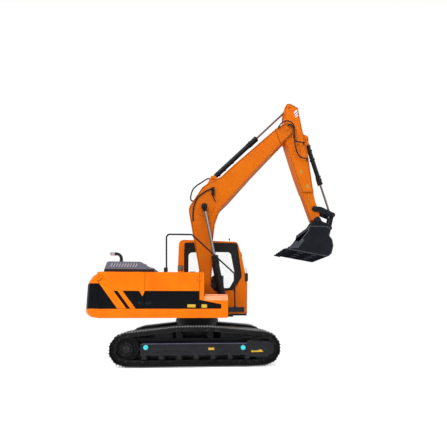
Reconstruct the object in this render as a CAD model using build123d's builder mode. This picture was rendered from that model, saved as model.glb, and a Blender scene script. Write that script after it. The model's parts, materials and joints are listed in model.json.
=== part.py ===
from build123d import *
import os
from math import acos, atan2, cos, hypot, pi, sin

# Crawler excavator with a one-piece boom, an arm and a toothed bucket, in millimetres.
# +X points forward, +Y to the left, which is the cab's side, and +Z up.
# The origin is on the ground, under the swing axis.
# Side outlines are lists of (x, z) points, drawn in the X-Z plane and extruded across Y.

os.makedirs("parts", exist_ok=True)

# ---------------------------------------------------------------- clearances
FIT = 0.3  # between pieces that seat on each other
PLAY = 5.0  # between pieces that move past each other
RAIL_FIT = 0.8  # between the chain's rail and the bottom rollers
CARRIER_SLACK = 6.0  # below the chain where a straight link crosses a carrier roller
SIDES = {"left": 1, "right": -1}
UPWARDS = (Align.CENTER, Align.CENTER, Align.MIN)

# ---------------------------------------------------------------- undercarriage sizes
TRACK_Y = 1000.0  # middle of each track
SHOE_WIDTH = 500.0
SHOE_COUNT = 44
SHOE_PLATE = 10.0
GROUSER = 25.0
GROUSER_HALF = (13.0, 7.0)  # half width at its root and at its tip
GROUSERS_ON_SHOE = 3
LINK_OUT = 50.0  # pitch line to the shoe
LINK_IN = 40.0  # pitch line to the rail face
LINK_Y = (45.0, 85.0)  # inner and outer side of a link row, from the track's middle
SPROCKET = (-1450.0, 372.0)
SPROCKET_PITCH_R = 275.0
SPROCKET_TEETH = 15
SPROCKET_TOOTH = 26.0
IDLER = (1440.0, 385.0)
IDLER_PITCH_R = 285.0
IDLER_FLANGE = 28.0
IDLER_RIM = 35.0
IDLER_WEB = 25.0  # half its thickness
ROLLER_R = 80.0
AXLE_R = 32.0
HANGER = 45.0  # half the width of a roller's hanger
ROLLER_COUNT = 7
ROLLER_SPAN = 2160.0  # first to last bottom roller
FLAT_RUN = 30.0  # of the chain beyond the end rollers
CARRIER_R = 72.0
CARRIER_HALF = 90.0
CARRIER_Z = 655.0
CARRIER_X = (-360.0, 300.0)
CHEEK_IN = 120.0  # inner face of a track frame's cheek, from the track's middle
CHEEK = 30.0
FRAME_X = (-ROLLER_SPAN / 2 - 80, ROLLER_SPAN / 2 + 60)
GUIDE_X = FRAME_X[1] + 150  # end of the cheeks' full height
FRAME_Z = (238.0, 473.0)
FRAME_CEILING = 300.0
GUARD_X = (FRAME_X[0] - 90, FRAME_X[1] + 60)
GUARD_Z = (110.0, 565.0)  # inner cheek, deeper and taller than the outer one
MOTOR_R = 178.0
HUB_R = 140.0
MOTOR_BODY_R = 115.0

PITCH_Z = GROUSER + SHOE_PLATE + LINK_OUT
ROLLER_Z = PITCH_Z + LINK_IN + RAIL_FIT + ROLLER_R
ROLLER_PATH_R = ROLLER_R + RAIL_FIT + LINK_IN
CARRIER_PATH_R = CARRIER_R + CARRIER_SLACK + LINK_IN
CHEEK_OUT = CHEEK_IN + CHEEK

CAR_HALF = 520.0
CAR_Z = (430.0, 700.0)
CAR_CORNER = 140.0
LEG_X = 720.0
LEG_WIDTH = 380.0
LEG_Z = (320.0, 690.0)
TOW_X = 575.0
TOW_TIP_X = 625.0
TOW_Z = 485.0
TOW_HALF = 22.0
TOW_WIDTH = 110.0
TOW_BORE_R = 25.0
BEARING_R = 520.0
BEARING_Z = 870.0
BEARING_HEIGHT = 80.0

# ---------------------------------------------------------------- house sizes
DECK_Z = (1020.0, 1066.0)
BODY_TOP = 1990.0
BODY_HALF = 1220.0  # outer face of the doors
DOOR = 35.0
DOOR_GAP = 10.0  # behind a door
SHELL = 30.0
SKIRT_TOP = 1212.0  # fixed panel below the doors
DOOR_SEAM_X = -1084.0
DOOR_FRONT_X = 60.0
BODY_FRONT_X = 160.0
BULKHEAD_X = -260.0  # wall behind the boom
TANK_INNER_Y = -520.0
LEFT_FRONT_X = -570.0
TAIL_R = 2545.0
TAIL_SIDE = 203.0  # flat side of the counterweight
REAR_SEAM_X = TAIL_SIDE - (TAIL_R**2 - BODY_HALF**2) ** 0.5
TAIL_BOTTOM = DECK_Z[0] + 10
TAIL_CORNER = 180.0
SHELL_HALF = BODY_HALF - DOOR - DOOR_GAP
DECK_HALF = SHELL_HALF - PLAY
DOOR_Z = (SKIRT_TOP + PLAY, BODY_TOP - PLAY)

HOOD_X = (REAR_SEAM_X - 60, -965.0)
HOOD_HALF = 700.0
HOOD_TOP = 2272.0
HOOD_SHEET = 25.0
LOUVRE_COUNT = 10
LOUVRE_X = (-1950.0, -1400.0)  # lower ends of the first and the last slot
LOUVRE_Z = (2145.0, 2235.0)
LOUVRE_WIDTH = 26.0
LOUVRE_LEAN = 50.0

BOX_X = (BODY_FRONT_X, 670.0)
BOX_TOP = 1520.0
BOX_INNER_Y = -600.0
BOX_SLOPE = (120.0, 130.0)  # run across and height of the sloped upper edge
LID = 25.0

CAB_Y = (260.0, 1220.0)
CAB_WALL = 45.0
GLASS = 8.0

# ---------------------------------------------------------------- working equipment pivots (x, z)
BOOM_Y = -130.0
BOOM_FOOT = (200.0, 1660.0)
BOOM_CYL_FOOT = (680.0, 1200.0)
BOOM_CYL_TOP = (161.0, 3678.0)
BOOM_CYL_DY = 270.0
ARM_PIVOT = (2270.0, 5800.0)
ARM_CYL_FOOT = (375.0, 4480.0)
ARM_CYL_TOP = (2335.0, 6425.0)
BUCKET_PIVOT = (3025.0, 3437.0)
ROCKER_PIVOT = (2955.0, 3725.0)
TOGGLE = (3420.0, 3575.0)  # where rocker, link and rod meet
LINK_PIVOT = (3335.0, 3235.0)
BUCKET_CYL_FOOT = (2805.0, 5600.0)

BOOM_HALF = 170.0
BRACKET = 20.0
ARM_HALF = 130.0
ARM_TIP_HALF = 110.0
FORK_SLOT = 75.0  # half the slot for the arm cylinder's rod eye
BUCKET_HALF = 520.0
BUCKET_PLATE = 22.0
EAR = 30.0
PIN_R = 40.0
SMALL_PIN_R = 32.0
BOSS = 20.0  # height of the boss round the boom cylinders' upper pin
BOSS_R = 105.0

BARREL_R = 66.0
ARM_BARREL_R = 54.0
BUCKET_BARREL_R = 50.0
ROD_R = 33.0
THIN_ROD_R = 26.0
GLAND_STEP = 16.0  # gland wider than the barrel
FOOT_EYE = 12.0  # foot eye wider than the barrel
FOOT_STEP = 4.0  # foot eye narrower than the barrel, each side
ROD_EYE_R = 66.0
ROD_EYE_HALF = 42.0
PIN_CAP_GAP = 3.0  # from a rod's pin to the boom's boss
LUG = 28.0


# ---------------------------------------------------------------- helpers
def side_plane(y):
    """X-Z plane at y, with its normal towards the right side, -Y."""
    return Plane.XZ.offset(-y)


def slab(points, y_low, y_high, radius=0.0, mode=Mode.ADD):
    """Closed X-Z outline, its corners rounded by radius, extruded from y_low to y_high."""
    with BuildSketch(side_plane(y_high)) as outline:
        with BuildLine():
            if radius:
                FilletPolyline(*points, radius=radius, close=True)
            else:
                Polyline(*points, close=True)
        make_face()
    extrude(outline.sketch, amount=y_high - y_low, dir=(0, -1, 0), mode=mode)


def rounded_side(corners, y, inwards=0.0):
    """Face in the side plane at y, inside (x, z, corner radius) corners, moved in by a distance."""
    ends = []
    for before, (x, z, radius), after in zip(corners[-1:] + corners[:-1], corners, corners[1:] + corners[:1]):
        to_before = Vector(before[0] - x, before[1] - z).normalized()
        to_after = Vector(after[0] - x, after[1] - z).normalized()
        half = acos(max(-1.0, min(1.0, to_before.dot(to_after)))) / 2
        corner = Vector(x, z)
        reach = radius * cos(half) / sin(half)
        nearest = radius / sin(half) - radius
        bisector = (to_before + to_after).normalized() if radius else to_before
        middle = corner + bisector * nearest
        ends.append((corner + to_before * reach, middle, corner + to_after * reach, radius))
    with BuildSketch(side_plane(y)) as face:
        with BuildLine():
            for (enter, middle, leave, radius), following in zip(ends, ends[1:] + ends[:1]):
                if radius:
                    ThreePointArc(enter, middle, leave)
                Line(leave, following[0])
        make_face()
        if inwards:
            offset(amount=-inwards, kind=Kind.INTERSECTION)
    return face.sketch


def rounded_slab(corners, y_low, y_high, inwards=0.0, mode=Mode.ADD):
    """Outline of (x, z, corner radius) corners, moved in and extruded from y_low to y_high."""
    extrude(rounded_side(corners, y_high, inwards), amount=y_high - y_low, dir=(0, -1, 0), mode=mode)


def block(x, y, z, mode=Mode.ADD):
    """Box between the (low, high) limits along X, Y and Z."""
    with Locations(((x[0] + x[1]) / 2, (y[0] + y[1]) / 2, (z[0] + z[1]) / 2)):
        Box(x[1] - x[0], y[1] - y[0], z[1] - z[0], mode=mode)


def pin(centre, radius, y_low, y_high, mode=Mode.ADD):
    """Round bar along Y at the (x, z) centre."""
    with Locations(Location((centre[0], (y_low + y_high) / 2, centre[1]), (90, 0, 0))):
        Cylinder(radius, y_high - y_low, mode=mode)


def bar(start, end, radius, y, mode=Mode.ADD):
    """Round bar from start to end, both (x, z), in the side plane at y."""
    run = (end[0] - start[0], end[1] - start[1])
    with Locations(Plane(origin=(start[0], y, start[1]), z_dir=(run[0], 0, run[1])).location):
        Cylinder(radius, hypot(*run), align=UPWARDS, mode=mode)


def along(start, end, distance):
    """Point (x, z) at a distance from start towards end."""
    share = distance / hypot(end[0] - start[0], end[1] - start[1])
    return (start[0] + (end[0] - start[0]) * share, start[1] + (end[1] - start[1]) * share)


def both(dy, width):
    """The (low, high) Y limits of the two plates that stand dy off the boom's middle."""
    return [(BOOM_Y + dy, BOOM_Y + dy + width), (BOOM_Y - dy - width, BOOM_Y - dy)]


def hose(points, radius, bend):
    """Round hose through (x, y, z) points, its bends rounded."""
    run = Vector(*points[1]) - Vector(*points[0])
    with BuildLine() as route:
        FilletPolyline(*points, radius=bend)
    with BuildSketch(Plane(origin=points[0], z_dir=run)) as section:
        Circle(radius)
    sweep(section.sketch, path=route.line)


def save(piece, name):
    """Label a finished part and write its STEP file."""
    piece.part.label = name
    export_step(piece.part, f"parts/{name}.step")


# ---------------------------------------------------------------- track loop
# The pitch line runs clockwise round these circles: (x, z, pitch radius).
TRACK_CIRCLES = [
    (-ROLLER_SPAN / 2 - FLAT_RUN, ROLLER_Z, ROLLER_PATH_R),
    (*SPROCKET, SPROCKET_PITCH_R),
    (CARRIER_X[0], CARRIER_Z, CARRIER_PATH_R),
    (CARRIER_X[1], CARRIER_Z, CARRIER_PATH_R),
    (*IDLER, IDLER_PITCH_R),
    (ROLLER_SPAN / 2 + FLAT_RUN, ROLLER_Z, ROLLER_PATH_R),
]
ARC_STEPS = 40


def tangent_angle(first, second):
    """Angle of the outward normal of the run between two circles."""
    run = (second[0] - first[0], second[1] - first[1])
    return atan2(run[1], run[0]) + acos((first[2] - second[2]) / hypot(*run))


def link_pins():
    """Pins of the chain, spread evenly along the pitch line: (x, z, angle of the outward normal)."""
    count = len(TRACK_CIRCLES)
    normals = [tangent_angle(c, TRACK_CIRCLES[(i + 1) % count]) for i, c in enumerate(TRACK_CIRCLES)]
    angle = normals[-1]
    walk = []
    for (x, z, radius), leave in zip(TRACK_CIRCLES, normals):
        sweep_angle = (angle - leave) % (2 * pi)
        for step in range(ARC_STEPS + 1):
            at = angle - sweep_angle * step / ARC_STEPS
            walk.append((x + radius * cos(at), z + radius * sin(at), at))
        angle -= sweep_angle
    walk.append((walk[0][0], walk[0][1], angle))
    steps = [hypot(b[0] - a[0], b[1] - a[1]) for a, b in zip(walk, walk[1:])]
    pitch = sum(steps) / SHOE_COUNT
    pins = []
    passed = 0.0
    for (a, b), step in zip(zip(walk, walk[1:]), steps):
        while len(pins) < SHOE_COUNT and len(pins) * pitch <= passed + step:
            share = (len(pins) * pitch - passed) / step if step else 0.0
            pins.append(tuple(start + (end - start) * share for start, end in zip(a, b)))
        passed += step
    return pins, pitch


LINK_PINS, LINK_PITCH = link_pins()


def belt_line(offset):
    """Loop of straight links at an offset outside the pitch line."""
    return [(x + offset * cos(angle), z + offset * sin(angle)) for x, z, angle in LINK_PINS]


def shoe_line():
    """Ground side of the shoes, with grousers."""
    plates = belt_line(LINK_OUT + SHOE_PLATE)
    points = []
    for start, end in zip(plates, plates[1:] + plates[:1]):
        length = hypot(end[0] - start[0], end[1] - start[1])
        forward = ((end[0] - start[0]) / length, (end[1] - start[1]) / length)
        for i in range(GROUSERS_ON_SHOE):
            middle = length * (i + 0.5) / GROUSERS_ON_SHOE
            root, tip = GROUSER_HALF
            for distance, height in ((-root, 0.0), (-tip, GROUSER), (tip, GROUSER), (root, 0.0)):
                x = start[0] + forward[0] * (middle + distance) - forward[1] * height
                z = start[1] + forward[1] * (middle + distance) + forward[0] * height
                points.append((x, z))
    return points


def belt(outer, inner, y_low, y_high):
    """Closed belt between two loops of points, from y_low to y_high."""
    with BuildSketch(side_plane(y_high)) as section:
        with BuildLine():
            Polyline(*outer, close=True)
        make_face()
        with BuildLine():
            Polyline(*inner, close=True)
        make_face(mode=Mode.SUBTRACT)
    extrude(section.sketch, amount=y_high - y_low, dir=(0, -1, 0))


# ---------------------------------------------------------------- undercarriage
def make_track(middle):
    """Shoe belt with its two rows of links, as one closed loop."""
    with BuildPart() as track:
        belt(shoe_line(), belt_line(LINK_OUT), middle - SHOE_WIDTH / 2, middle + SHOE_WIDTH / 2)
        for row in (1, -1):
            low, high = sorted(middle + row * y for y in LINK_Y)
            belt(belt_line(LINK_OUT), belt_line(-LINK_IN), low, high)
    return track


def make_track_frame(side):
    """Inverted channel with roller hangers, inner guard, carrier posts, idler guides and a motor plate."""
    middle = side * TRACK_Y
    inner = tuple(sorted((middle - side * CHEEK_IN, middle - side * CHEEK_OUT)))
    outer = tuple(sorted((middle + side * CHEEK_IN, middle + side * CHEEK_OUT)))
    with BuildPart() as frame:
        block(FRAME_X, (middle - CHEEK_OUT, middle + CHEEK_OUT), FRAME_Z)
        block(FRAME_X, (middle - CHEEK_IN, middle + CHEEK_IN), (FRAME_Z[0], FRAME_CEILING), Mode.SUBTRACT)
        for cheek in (inner, outer):
            for i in range(ROLLER_COUNT):
                x = -ROLLER_SPAN / 2 + i * ROLLER_SPAN / (ROLLER_COUNT - 1)
                block((x - HANGER, x + HANGER), cheek, (ROLLER_Z - HANGER, FRAME_Z[0]))
            block((FRAME_X[1], GUIDE_X), cheek, FRAME_Z)
            block((GUIDE_X, IDLER[0] + 60), cheek, (IDLER[1] - 70, IDLER[1] + 50))
        block(GUARD_X, inner, GUARD_Z)
        for x in CARRIER_X:
            block((x - 50, x + 50), inner, (FRAME_Z[1], CARRIER_Z + 45))
        block((SPROCKET[0], FRAME_X[0]), inner, (SPROCKET[1] - 130, SPROCKET[1] + 130))
        pin(SPROCKET, MOTOR_R, *inner)
    return frame


def make_rollers(side):
    """Bottom rollers and carrier rollers of one track."""
    middle = side * TRACK_Y
    barrel = CHEEK_IN - PLAY * 2
    with BuildPart() as rollers:
        for i in range(ROLLER_COUNT):
            centre = (-ROLLER_SPAN / 2 + i * ROLLER_SPAN / (ROLLER_COUNT - 1), ROLLER_Z)
            pin(centre, ROLLER_R, middle - barrel, middle + barrel)
            pin(centre, AXLE_R, middle - CHEEK_IN + FIT, middle + CHEEK_IN - FIT)
        for x in CARRIER_X:
            pin((x, CARRIER_Z), CARRIER_R, middle - CARRIER_HALF, middle + CARRIER_HALF)
            pin((x, CARRIER_Z), AXLE_R, *sorted((middle, middle - side * (CHEEK_IN - FIT))))
    return rollers


def make_sprocket(side):
    """Toothed drive ring between the link rows."""
    middle = side * TRACK_Y
    half = LINK_Y[0] - PLAY
    root = SPROCKET_PITCH_R - SPROCKET_TOOTH
    with BuildPart() as sprocket:
        with BuildSketch(side_plane(middle + half)):
            with Locations(SPROCKET):
                Circle(root)
                with PolarLocations(root - 5, SPROCKET_TEETH):
                    Trapezoid(72, 42, 62, rotation=-90)
                Circle(MOTOR_R + FIT, mode=Mode.SUBTRACT)
        extrude(amount=2 * half)
    return sprocket


def make_travel_motor(side):
    """Final drive with its outer hub, and the motor inboard of the frame's plate."""
    middle = side * TRACK_Y
    plate = middle - side * CHEEK_IN
    with BuildPart() as motor:
        pin(SPROCKET, MOTOR_R, *sorted((plate, middle + side * 60)))
        pin(SPROCKET, HUB_R, *sorted((middle + side * 60, middle + side * 125)))
        pin(SPROCKET, MOTOR_BODY_R, *sorted((middle - side * CHEEK_OUT, middle - side * 240)))
    return motor


def make_idler(side):
    """Front wheel with a guide flange between the link rows."""
    middle = side * TRACK_Y
    rim = (IDLER_PITCH_R - LINK_IN) * cos(LINK_PITCH / 2 / IDLER_PITCH_R) - 2 * FIT
    with BuildPart() as idler:
        pin(IDLER, rim, middle - LINK_Y[1], middle + LINK_Y[1])
        pin(IDLER, rim + IDLER_FLANGE, middle - LINK_Y[0] + PLAY, middle + LINK_Y[0] - PLAY)
        for low, high in ((-LINK_Y[1], -IDLER_WEB), (IDLER_WEB, LINK_Y[1])):
            pin(IDLER, rim - IDLER_RIM, middle + low, middle + high, Mode.SUBTRACT)
            pin(IDLER, 80, middle + low, middle + high)
        pin(IDLER, 45, middle - CHEEK_IN + FIT, middle + CHEEK_IN - FIT)
    return idler


for side_name, side in SIDES.items():
    save(make_track(side * TRACK_Y), f"track_{side_name}")
    save(make_track_frame(side), f"track_frame_{side_name}")
    save(make_rollers(side), f"rollers_{side_name}")
    save(make_sprocket(side), f"sprocket_{side_name}")
    save(make_travel_motor(side), f"travel_motor_{side_name}")
    save(make_idler(side), f"idler_{side_name}")

with BuildPart() as car_body:
    block((-CAR_HALF, CAR_HALF), (-CAR_HALF, CAR_HALF), CAR_Z)
    chamfer(car_body.edges().filter_by(Axis.Z), CAR_CORNER)
    with Locations((0, 0, CAR_Z[1])):
        Cylinder(BEARING_R - 40, BEARING_Z - CAR_Z[1], align=UPWARDS)
    for end in (1, -1):
        for side in SIDES.values():
            inner_y = side * (CAR_HALF - 240)
            outer_y = side * (TRACK_Y - CHEEK_OUT)
            with BuildSketch(Plane.XY.offset(LEG_Z[0])):
                with BuildLine():
                    Polyline(
                        (end * LEG_X * 0.35, inner_y),
                        (end * LEG_X * 0.7, inner_y),
                        (end * (LEG_X + LEG_WIDTH / 2), outer_y),
                        (end * (LEG_X - LEG_WIDTH / 2), outer_y),
                        close=True,
                    )
                make_face()
            extrude(amount=LEG_Z[1] - LEG_Z[0])
        eye_x = tuple(sorted((end * (CAR_HALF - 20), end * TOW_TIP_X)))
        block(eye_x, (-TOW_WIDTH / 2, TOW_WIDTH / 2), (TOW_Z - TOW_HALF, TOW_Z + TOW_HALF))
        with Locations((end * TOW_X, 0, TOW_Z)):
            Cylinder(TOW_BORE_R, 2 * TOW_HALF, mode=Mode.SUBTRACT)
save(car_body, "car_body")

with BuildPart() as swing_bearing:
    with Locations((0, 0, BEARING_Z)):
        Cylinder(BEARING_R, BEARING_HEIGHT, align=UPWARDS)
save(swing_bearing, "swing_bearing")

# ---------------------------------------------------------------- hinges of the side doors
HINGE_R = 10.0
HINGE_PIN_R = 5.0
HINGE_OUT = 12.0  # axis outside the panel's face
HINGE_IN = 20.0  # axis inside the panel's hinged edge
HINGE_HEIGHT = 40.0


def hinge_leaf(x, face_y, z_low, reach, out, height=HINGE_HEIGHT):
    """Knuckle on a vertical axis at x, with a strap along +-reach and a foot on the face."""
    y = face_y + out * HINGE_OUT
    with Locations((x, y, z_low)):
        Cylinder(HINGE_R, height, align=UPWARDS)
    strap = tuple(sorted((x, x + reach)))
    foot = tuple(sorted((x + reach * 0.6, x + reach)))
    block(strap, tuple(sorted((y + out * HINGE_R, y - out * 8))), (z_low, z_low + height))
    block(foot, tuple(sorted((y, face_y))), (z_low, z_low + height))


def fixed_hinge(x, face_y, z_low, reach, out):
    """Leaf on the fixed side, with its pin standing up through the door's knuckle."""
    hinge_leaf(x, face_y, z_low - FIT - HINGE_HEIGHT, reach, out)
    with Locations((x, face_y + out * HINGE_OUT, z_low - HINGE_HEIGHT)):
        Cylinder(HINGE_PIN_R, HINGE_HEIGHT * 2 - PLAY, align=UPWARDS)


def door_hinge(x, face_y, z_low, reach, out):
    """Leaf on the door, bored for the fixed pin."""
    hinge_leaf(x, face_y, z_low, reach, out)
    with Locations((x, face_y + out * HINGE_OUT, z_low)):
        Cylinder(HINGE_PIN_R + FIT, HINGE_HEIGHT, align=UPWARDS, mode=Mode.SUBTRACT)


# Side doors: (name, side, rear x, front x, hinged edge's x, reach of the fixed leaf)
SIDE_DOORS = [
    ("right_rear_door", -1, REAR_SEAM_X + PLAY, DOOR_SEAM_X - PLAY / 2, REAR_SEAM_X + PLAY, -60.0),
    ("right_front_door", -1, DOOR_SEAM_X + PLAY / 2, DOOR_FRONT_X, DOOR_FRONT_X, 60.0),
    ("left_side_door", 1, REAR_SEAM_X + PLAY, LEFT_FRONT_X - 60.0, REAR_SEAM_X + PLAY, -60.0),
]
HINGE_ZS = (DOOR_Z[0] + 90, DOOR_Z[1] - 140)


def hinge_axis_x(edge_x, reach):
    """X of a door's hinge axis, inside its hinged edge."""
    return edge_x - HINGE_IN if reach > 0 else edge_x + HINGE_IN


for name, side, rear_x, front_x, edge_x, reach in SIDE_DOORS:
    with BuildPart() as door:
        block(
            (rear_x, front_x),
            tuple(sorted((side * BODY_HALF, side * (BODY_HALF - DOOR)))),
            DOOR_Z,
        )
        for z in HINGE_ZS:
            door_hinge(hinge_axis_x(edge_x, reach), side * BODY_HALF, z, -reach, side)
    save(door, name)

# ---------------------------------------------------------------- house
CAB_DECK_X = 1270.0
MIDDLE_DECK_X = 840.0
with BuildPart() as revolving_frame:
    with BuildSketch(Plane.XY.offset(DECK_Z[0])):
        with BuildLine():
            Polyline(
                (REAR_SEAM_X, -DECK_HALF),
                (BOX_X[1] - DOOR - DOOR_GAP, -DECK_HALF),
                (BOX_X[1] - DOOR - DOOR_GAP, BOX_INNER_Y),
                (MIDDLE_DECK_X, BOX_INNER_Y),
                (MIDDLE_DECK_X, CAB_Y[0] - 10),
                (CAB_DECK_X, CAB_Y[0] - 10),
                (CAB_DECK_X, BODY_HALF - PLAY),
                (LEFT_FRONT_X + PLAY, BODY_HALF - PLAY),
                (LEFT_FRONT_X + PLAY, DECK_HALF),
                (REAR_SEAM_X, DECK_HALF),
                close=True,
            )
        make_face()
    extrude(amount=DECK_Z[1] - DECK_Z[0])
    with Locations((0, 0, BEARING_Z + BEARING_HEIGHT + FIT)):
        Cylinder(BEARING_R - 20, DECK_Z[0] - BEARING_Z - BEARING_HEIGHT - FIT, align=UPWARDS)
save(revolving_frame, "revolving_frame")

# Corners of a bracket's cheek: (x, z, corner radius)
BRACKET_OUTLINE = [
    (-240, DECK_Z[1], 0),
    (BOOM_FOOT[0] - 110, BOOM_FOOT[1] + 90, 60),
    (BOOM_FOOT[0] + 110, BOOM_FOOT[1] + 90, 60),
    (BOOM_CYL_FOOT[0] + 30, BOOM_CYL_FOOT[1] + 80, 60),
    (BOOM_CYL_FOOT[0] + 90, BOOM_CYL_FOOT[1] + 40, 30),
    (BOOM_CYL_FOOT[0] + 90, DECK_Z[1], 0),
]
with BuildPart() as boom_bracket:
    for low, high in both(BOOM_HALF + PLAY, BRACKET):
        rounded_slab(BRACKET_OUTLINE, low, high)
    pin(BOOM_FOOT, PIN_R, BOOM_Y - BOOM_HALF - PLAY, BOOM_Y + BOOM_HALF + PLAY)
    for low, high in both(BOOM_HALF + PLAY + BRACKET, 2 * (BOOM_CYL_DY - BOOM_HALF - PLAY - BRACKET)):
        pin(BOOM_CYL_FOOT, PIN_R, low, high)
save(boom_bracket, "boom_bracket")

# Half section of the counterweight: (radius, z, corner radius)
TAIL_SECTION = [
    (0, TAIL_BOTTOM, 0),
    (TAIL_R, TAIL_BOTTOM, 150),
    (TAIL_R - 25, 1760, 250),
    (TAIL_R - 130, 1935, 120),
    (TAIL_R - 290, BODY_TOP, 80),
    (0, BODY_TOP, 0),
]
with BuildPart() as counterweight:
    revolve(rounded_side(TAIL_SECTION, 0), axis=Axis.Z)
    with BuildSketch(Plane.XY) as plan:
        Circle(TAIL_R + PLAY)
        with Locations((REAR_SEAM_X - TAIL_R / 2, 0)):
            Rectangle(TAIL_R, 2 * BODY_HALF, mode=Mode.INTERSECT)
        fillet(plan.vertices().group_by(Axis.X)[0], TAIL_CORNER)
    extrude(plan.sketch, amount=BODY_TOP + PLAY, mode=Mode.INTERSECT)
    for name, side, rear_x, front_x, edge_x, reach in SIDE_DOORS:
        if reach < 0:
            for z in HINGE_ZS:
                fixed_hinge(hinge_axis_x(edge_x, reach), side * BODY_HALF, z, reach, side)
save(counterweight, "counterweight")

with BuildPart() as engine_block:
    block((-1900, -1150), (-450, 450), (DECK_Z[1], 1800))
save(engine_block, "engine_block")

BODY_PLAN = [
    (REAR_SEAM_X, -SHELL_HALF),
    (BODY_FRONT_X, -SHELL_HALF),
    (BODY_FRONT_X, TANK_INNER_Y),
    (BULKHEAD_X, TANK_INNER_Y),
    (BULKHEAD_X, CAB_Y[0] - 30),
    (LEFT_FRONT_X, CAB_Y[0] - 30),
    (LEFT_FRONT_X, SHELL_HALF),
    (REAR_SEAM_X, SHELL_HALF),
]
# Fixed panels outside the shell: (rear x, front x, y low, y high, z low, z high)
SIDE_PANELS = [
    (REAR_SEAM_X, BODY_FRONT_X, -BODY_HALF, -SHELL_HALF, DECK_Z[0], SKIRT_TOP),
    (REAR_SEAM_X, LEFT_FRONT_X, SHELL_HALF, BODY_HALF, DECK_Z[0], SKIRT_TOP),
    (DOOR_FRONT_X + PLAY, BODY_FRONT_X, -BODY_HALF, -SHELL_HALF, DECK_Z[0], BODY_TOP),
    (LEFT_FRONT_X - 60 + PLAY, LEFT_FRONT_X, SHELL_HALF, BODY_HALF, DECK_Z[0], BODY_TOP),
]
with BuildPart() as body_shell:
    for inwards, height, mode in ((0, 0, Mode.ADD), (SHELL, SHELL, Mode.SUBTRACT)):
        with BuildSketch(Plane.XY.offset(DECK_Z[1])) as plan:
            with BuildLine():
                Polyline(*BODY_PLAN, close=True)
            make_face()
            if inwards:
                offset(amount=-inwards, kind=Kind.INTERSECTION)
        extrude(plan.sketch, amount=BODY_TOP - DECK_Z[1] - height, mode=mode)
    block(
        (REAR_SEAM_X, REAR_SEAM_X + SHELL),
        (-SHELL_HALF + SHELL, SHELL_HALF - SHELL),
        (DECK_Z[1], BODY_TOP - SHELL),
        Mode.SUBTRACT,
    )
    for name, side, rear_x, front_x, edge_x, reach in SIDE_DOORS:
        block(
            (rear_x + 40, front_x - 40),
            tuple(sorted((side * SHELL_HALF, side * (SHELL_HALF - SHELL)))),
            (DOOR_Z[0] + 30, BODY_TOP - 90),
            Mode.SUBTRACT,
        )
    block(
        (HOOD_X[0] + 120, HOOD_X[1] - 80),
        (-HOOD_HALF + 80, HOOD_HALF - 80),
        (BODY_TOP - SHELL, BODY_TOP),
        Mode.SUBTRACT,
    )
    for rear_x, front_x, y_low, y_high, z_low, z_high in SIDE_PANELS:
        block((rear_x, front_x), (y_low, y_high), (z_low, z_high))
    for z in HINGE_ZS:
        fixed_hinge(hinge_axis_x(DOOR_FRONT_X, 1), -BODY_HALF, z, 60.0, -1)
save(body_shell, "body_shell")

# ---------------------------------------------------------------- engine hood
HOOD_HINGE = (HOOD_X[1] + 10, BODY_TOP + 15)
# Corners of the hood's side: (x, z, corner radius)
HOOD_OUTLINE = [
    (HOOD_X[0], BODY_TOP + PLAY, 0),
    (HOOD_X[0] + 5, HOOD_TOP - 190, 150),
    (HOOD_X[0] + 70, HOOD_TOP, 50),
    (HOOD_X[1] - 310, HOOD_TOP, 90),
    (HOOD_X[1] - 110, HOOD_TOP - 122, 90),
    (HOOD_X[1], HOOD_TOP - 150, 25),
    (HOOD_X[1], BODY_TOP + PLAY, 0),
]
HOOD_KNUCKLES = (-500.0, 500.0)
with BuildPart() as engine_hood:
    rounded_slab(HOOD_OUTLINE, -HOOD_HALF, HOOD_HALF)
    rounded_slab(HOOD_OUTLINE, -HOOD_HALF + HOOD_SHEET, HOOD_HALF - HOOD_SHEET, HOOD_SHEET, Mode.SUBTRACT)
    block(
        (HOOD_X[0] + HOOD_SHEET, HOOD_X[1] - HOOD_SHEET),
        (-HOOD_HALF + HOOD_SHEET, HOOD_HALF - HOOD_SHEET),
        (BODY_TOP + PLAY, BODY_TOP + PLAY + HOOD_SHEET),
        Mode.SUBTRACT,
    )
    for i in range(LOUVRE_COUNT):
        x = LOUVRE_X[0] + i * (LOUVRE_X[1] - LOUVRE_X[0]) / (LOUVRE_COUNT - 1)
        slot = [
            (x, LOUVRE_Z[0]),
            (x + LOUVRE_WIDTH, LOUVRE_Z[0]),
            (x + LOUVRE_WIDTH + LOUVRE_LEAN, LOUVRE_Z[1]),
            (x + LOUVRE_LEAN, LOUVRE_Z[1]),
        ]
        slab(slot, -HOOD_HALF, HOOD_HALF, mode=Mode.SUBTRACT)
    for y in HOOD_KNUCKLES:
        pin(HOOD_HINGE, HINGE_R, y, y + 80)
        block((HOOD_X[1] - 5, HOOD_HINGE[0]), (y, y + 80), (BODY_TOP + PLAY, BODY_TOP + 25))
        pin(HOOD_HINGE, HINGE_PIN_R + FIT, y, y + 80, Mode.SUBTRACT)
save(engine_hood, "engine_hood")

with BuildPart() as hood_hinges:
    for y in HOOD_KNUCKLES:
        for low, high in ((y - 40, y - FIT), (y + 80 + FIT, y + 120)):
            pin(HOOD_HINGE, HINGE_R, low, high)
            block((HOOD_HINGE[0], HOOD_HINGE[0] + 30), (low, high), (BODY_TOP, BODY_TOP + 20))
        pin(HOOD_HINGE, HINGE_PIN_R, y - 40, y + 120)
save(hood_hinges, "hood_hinges")

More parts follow.
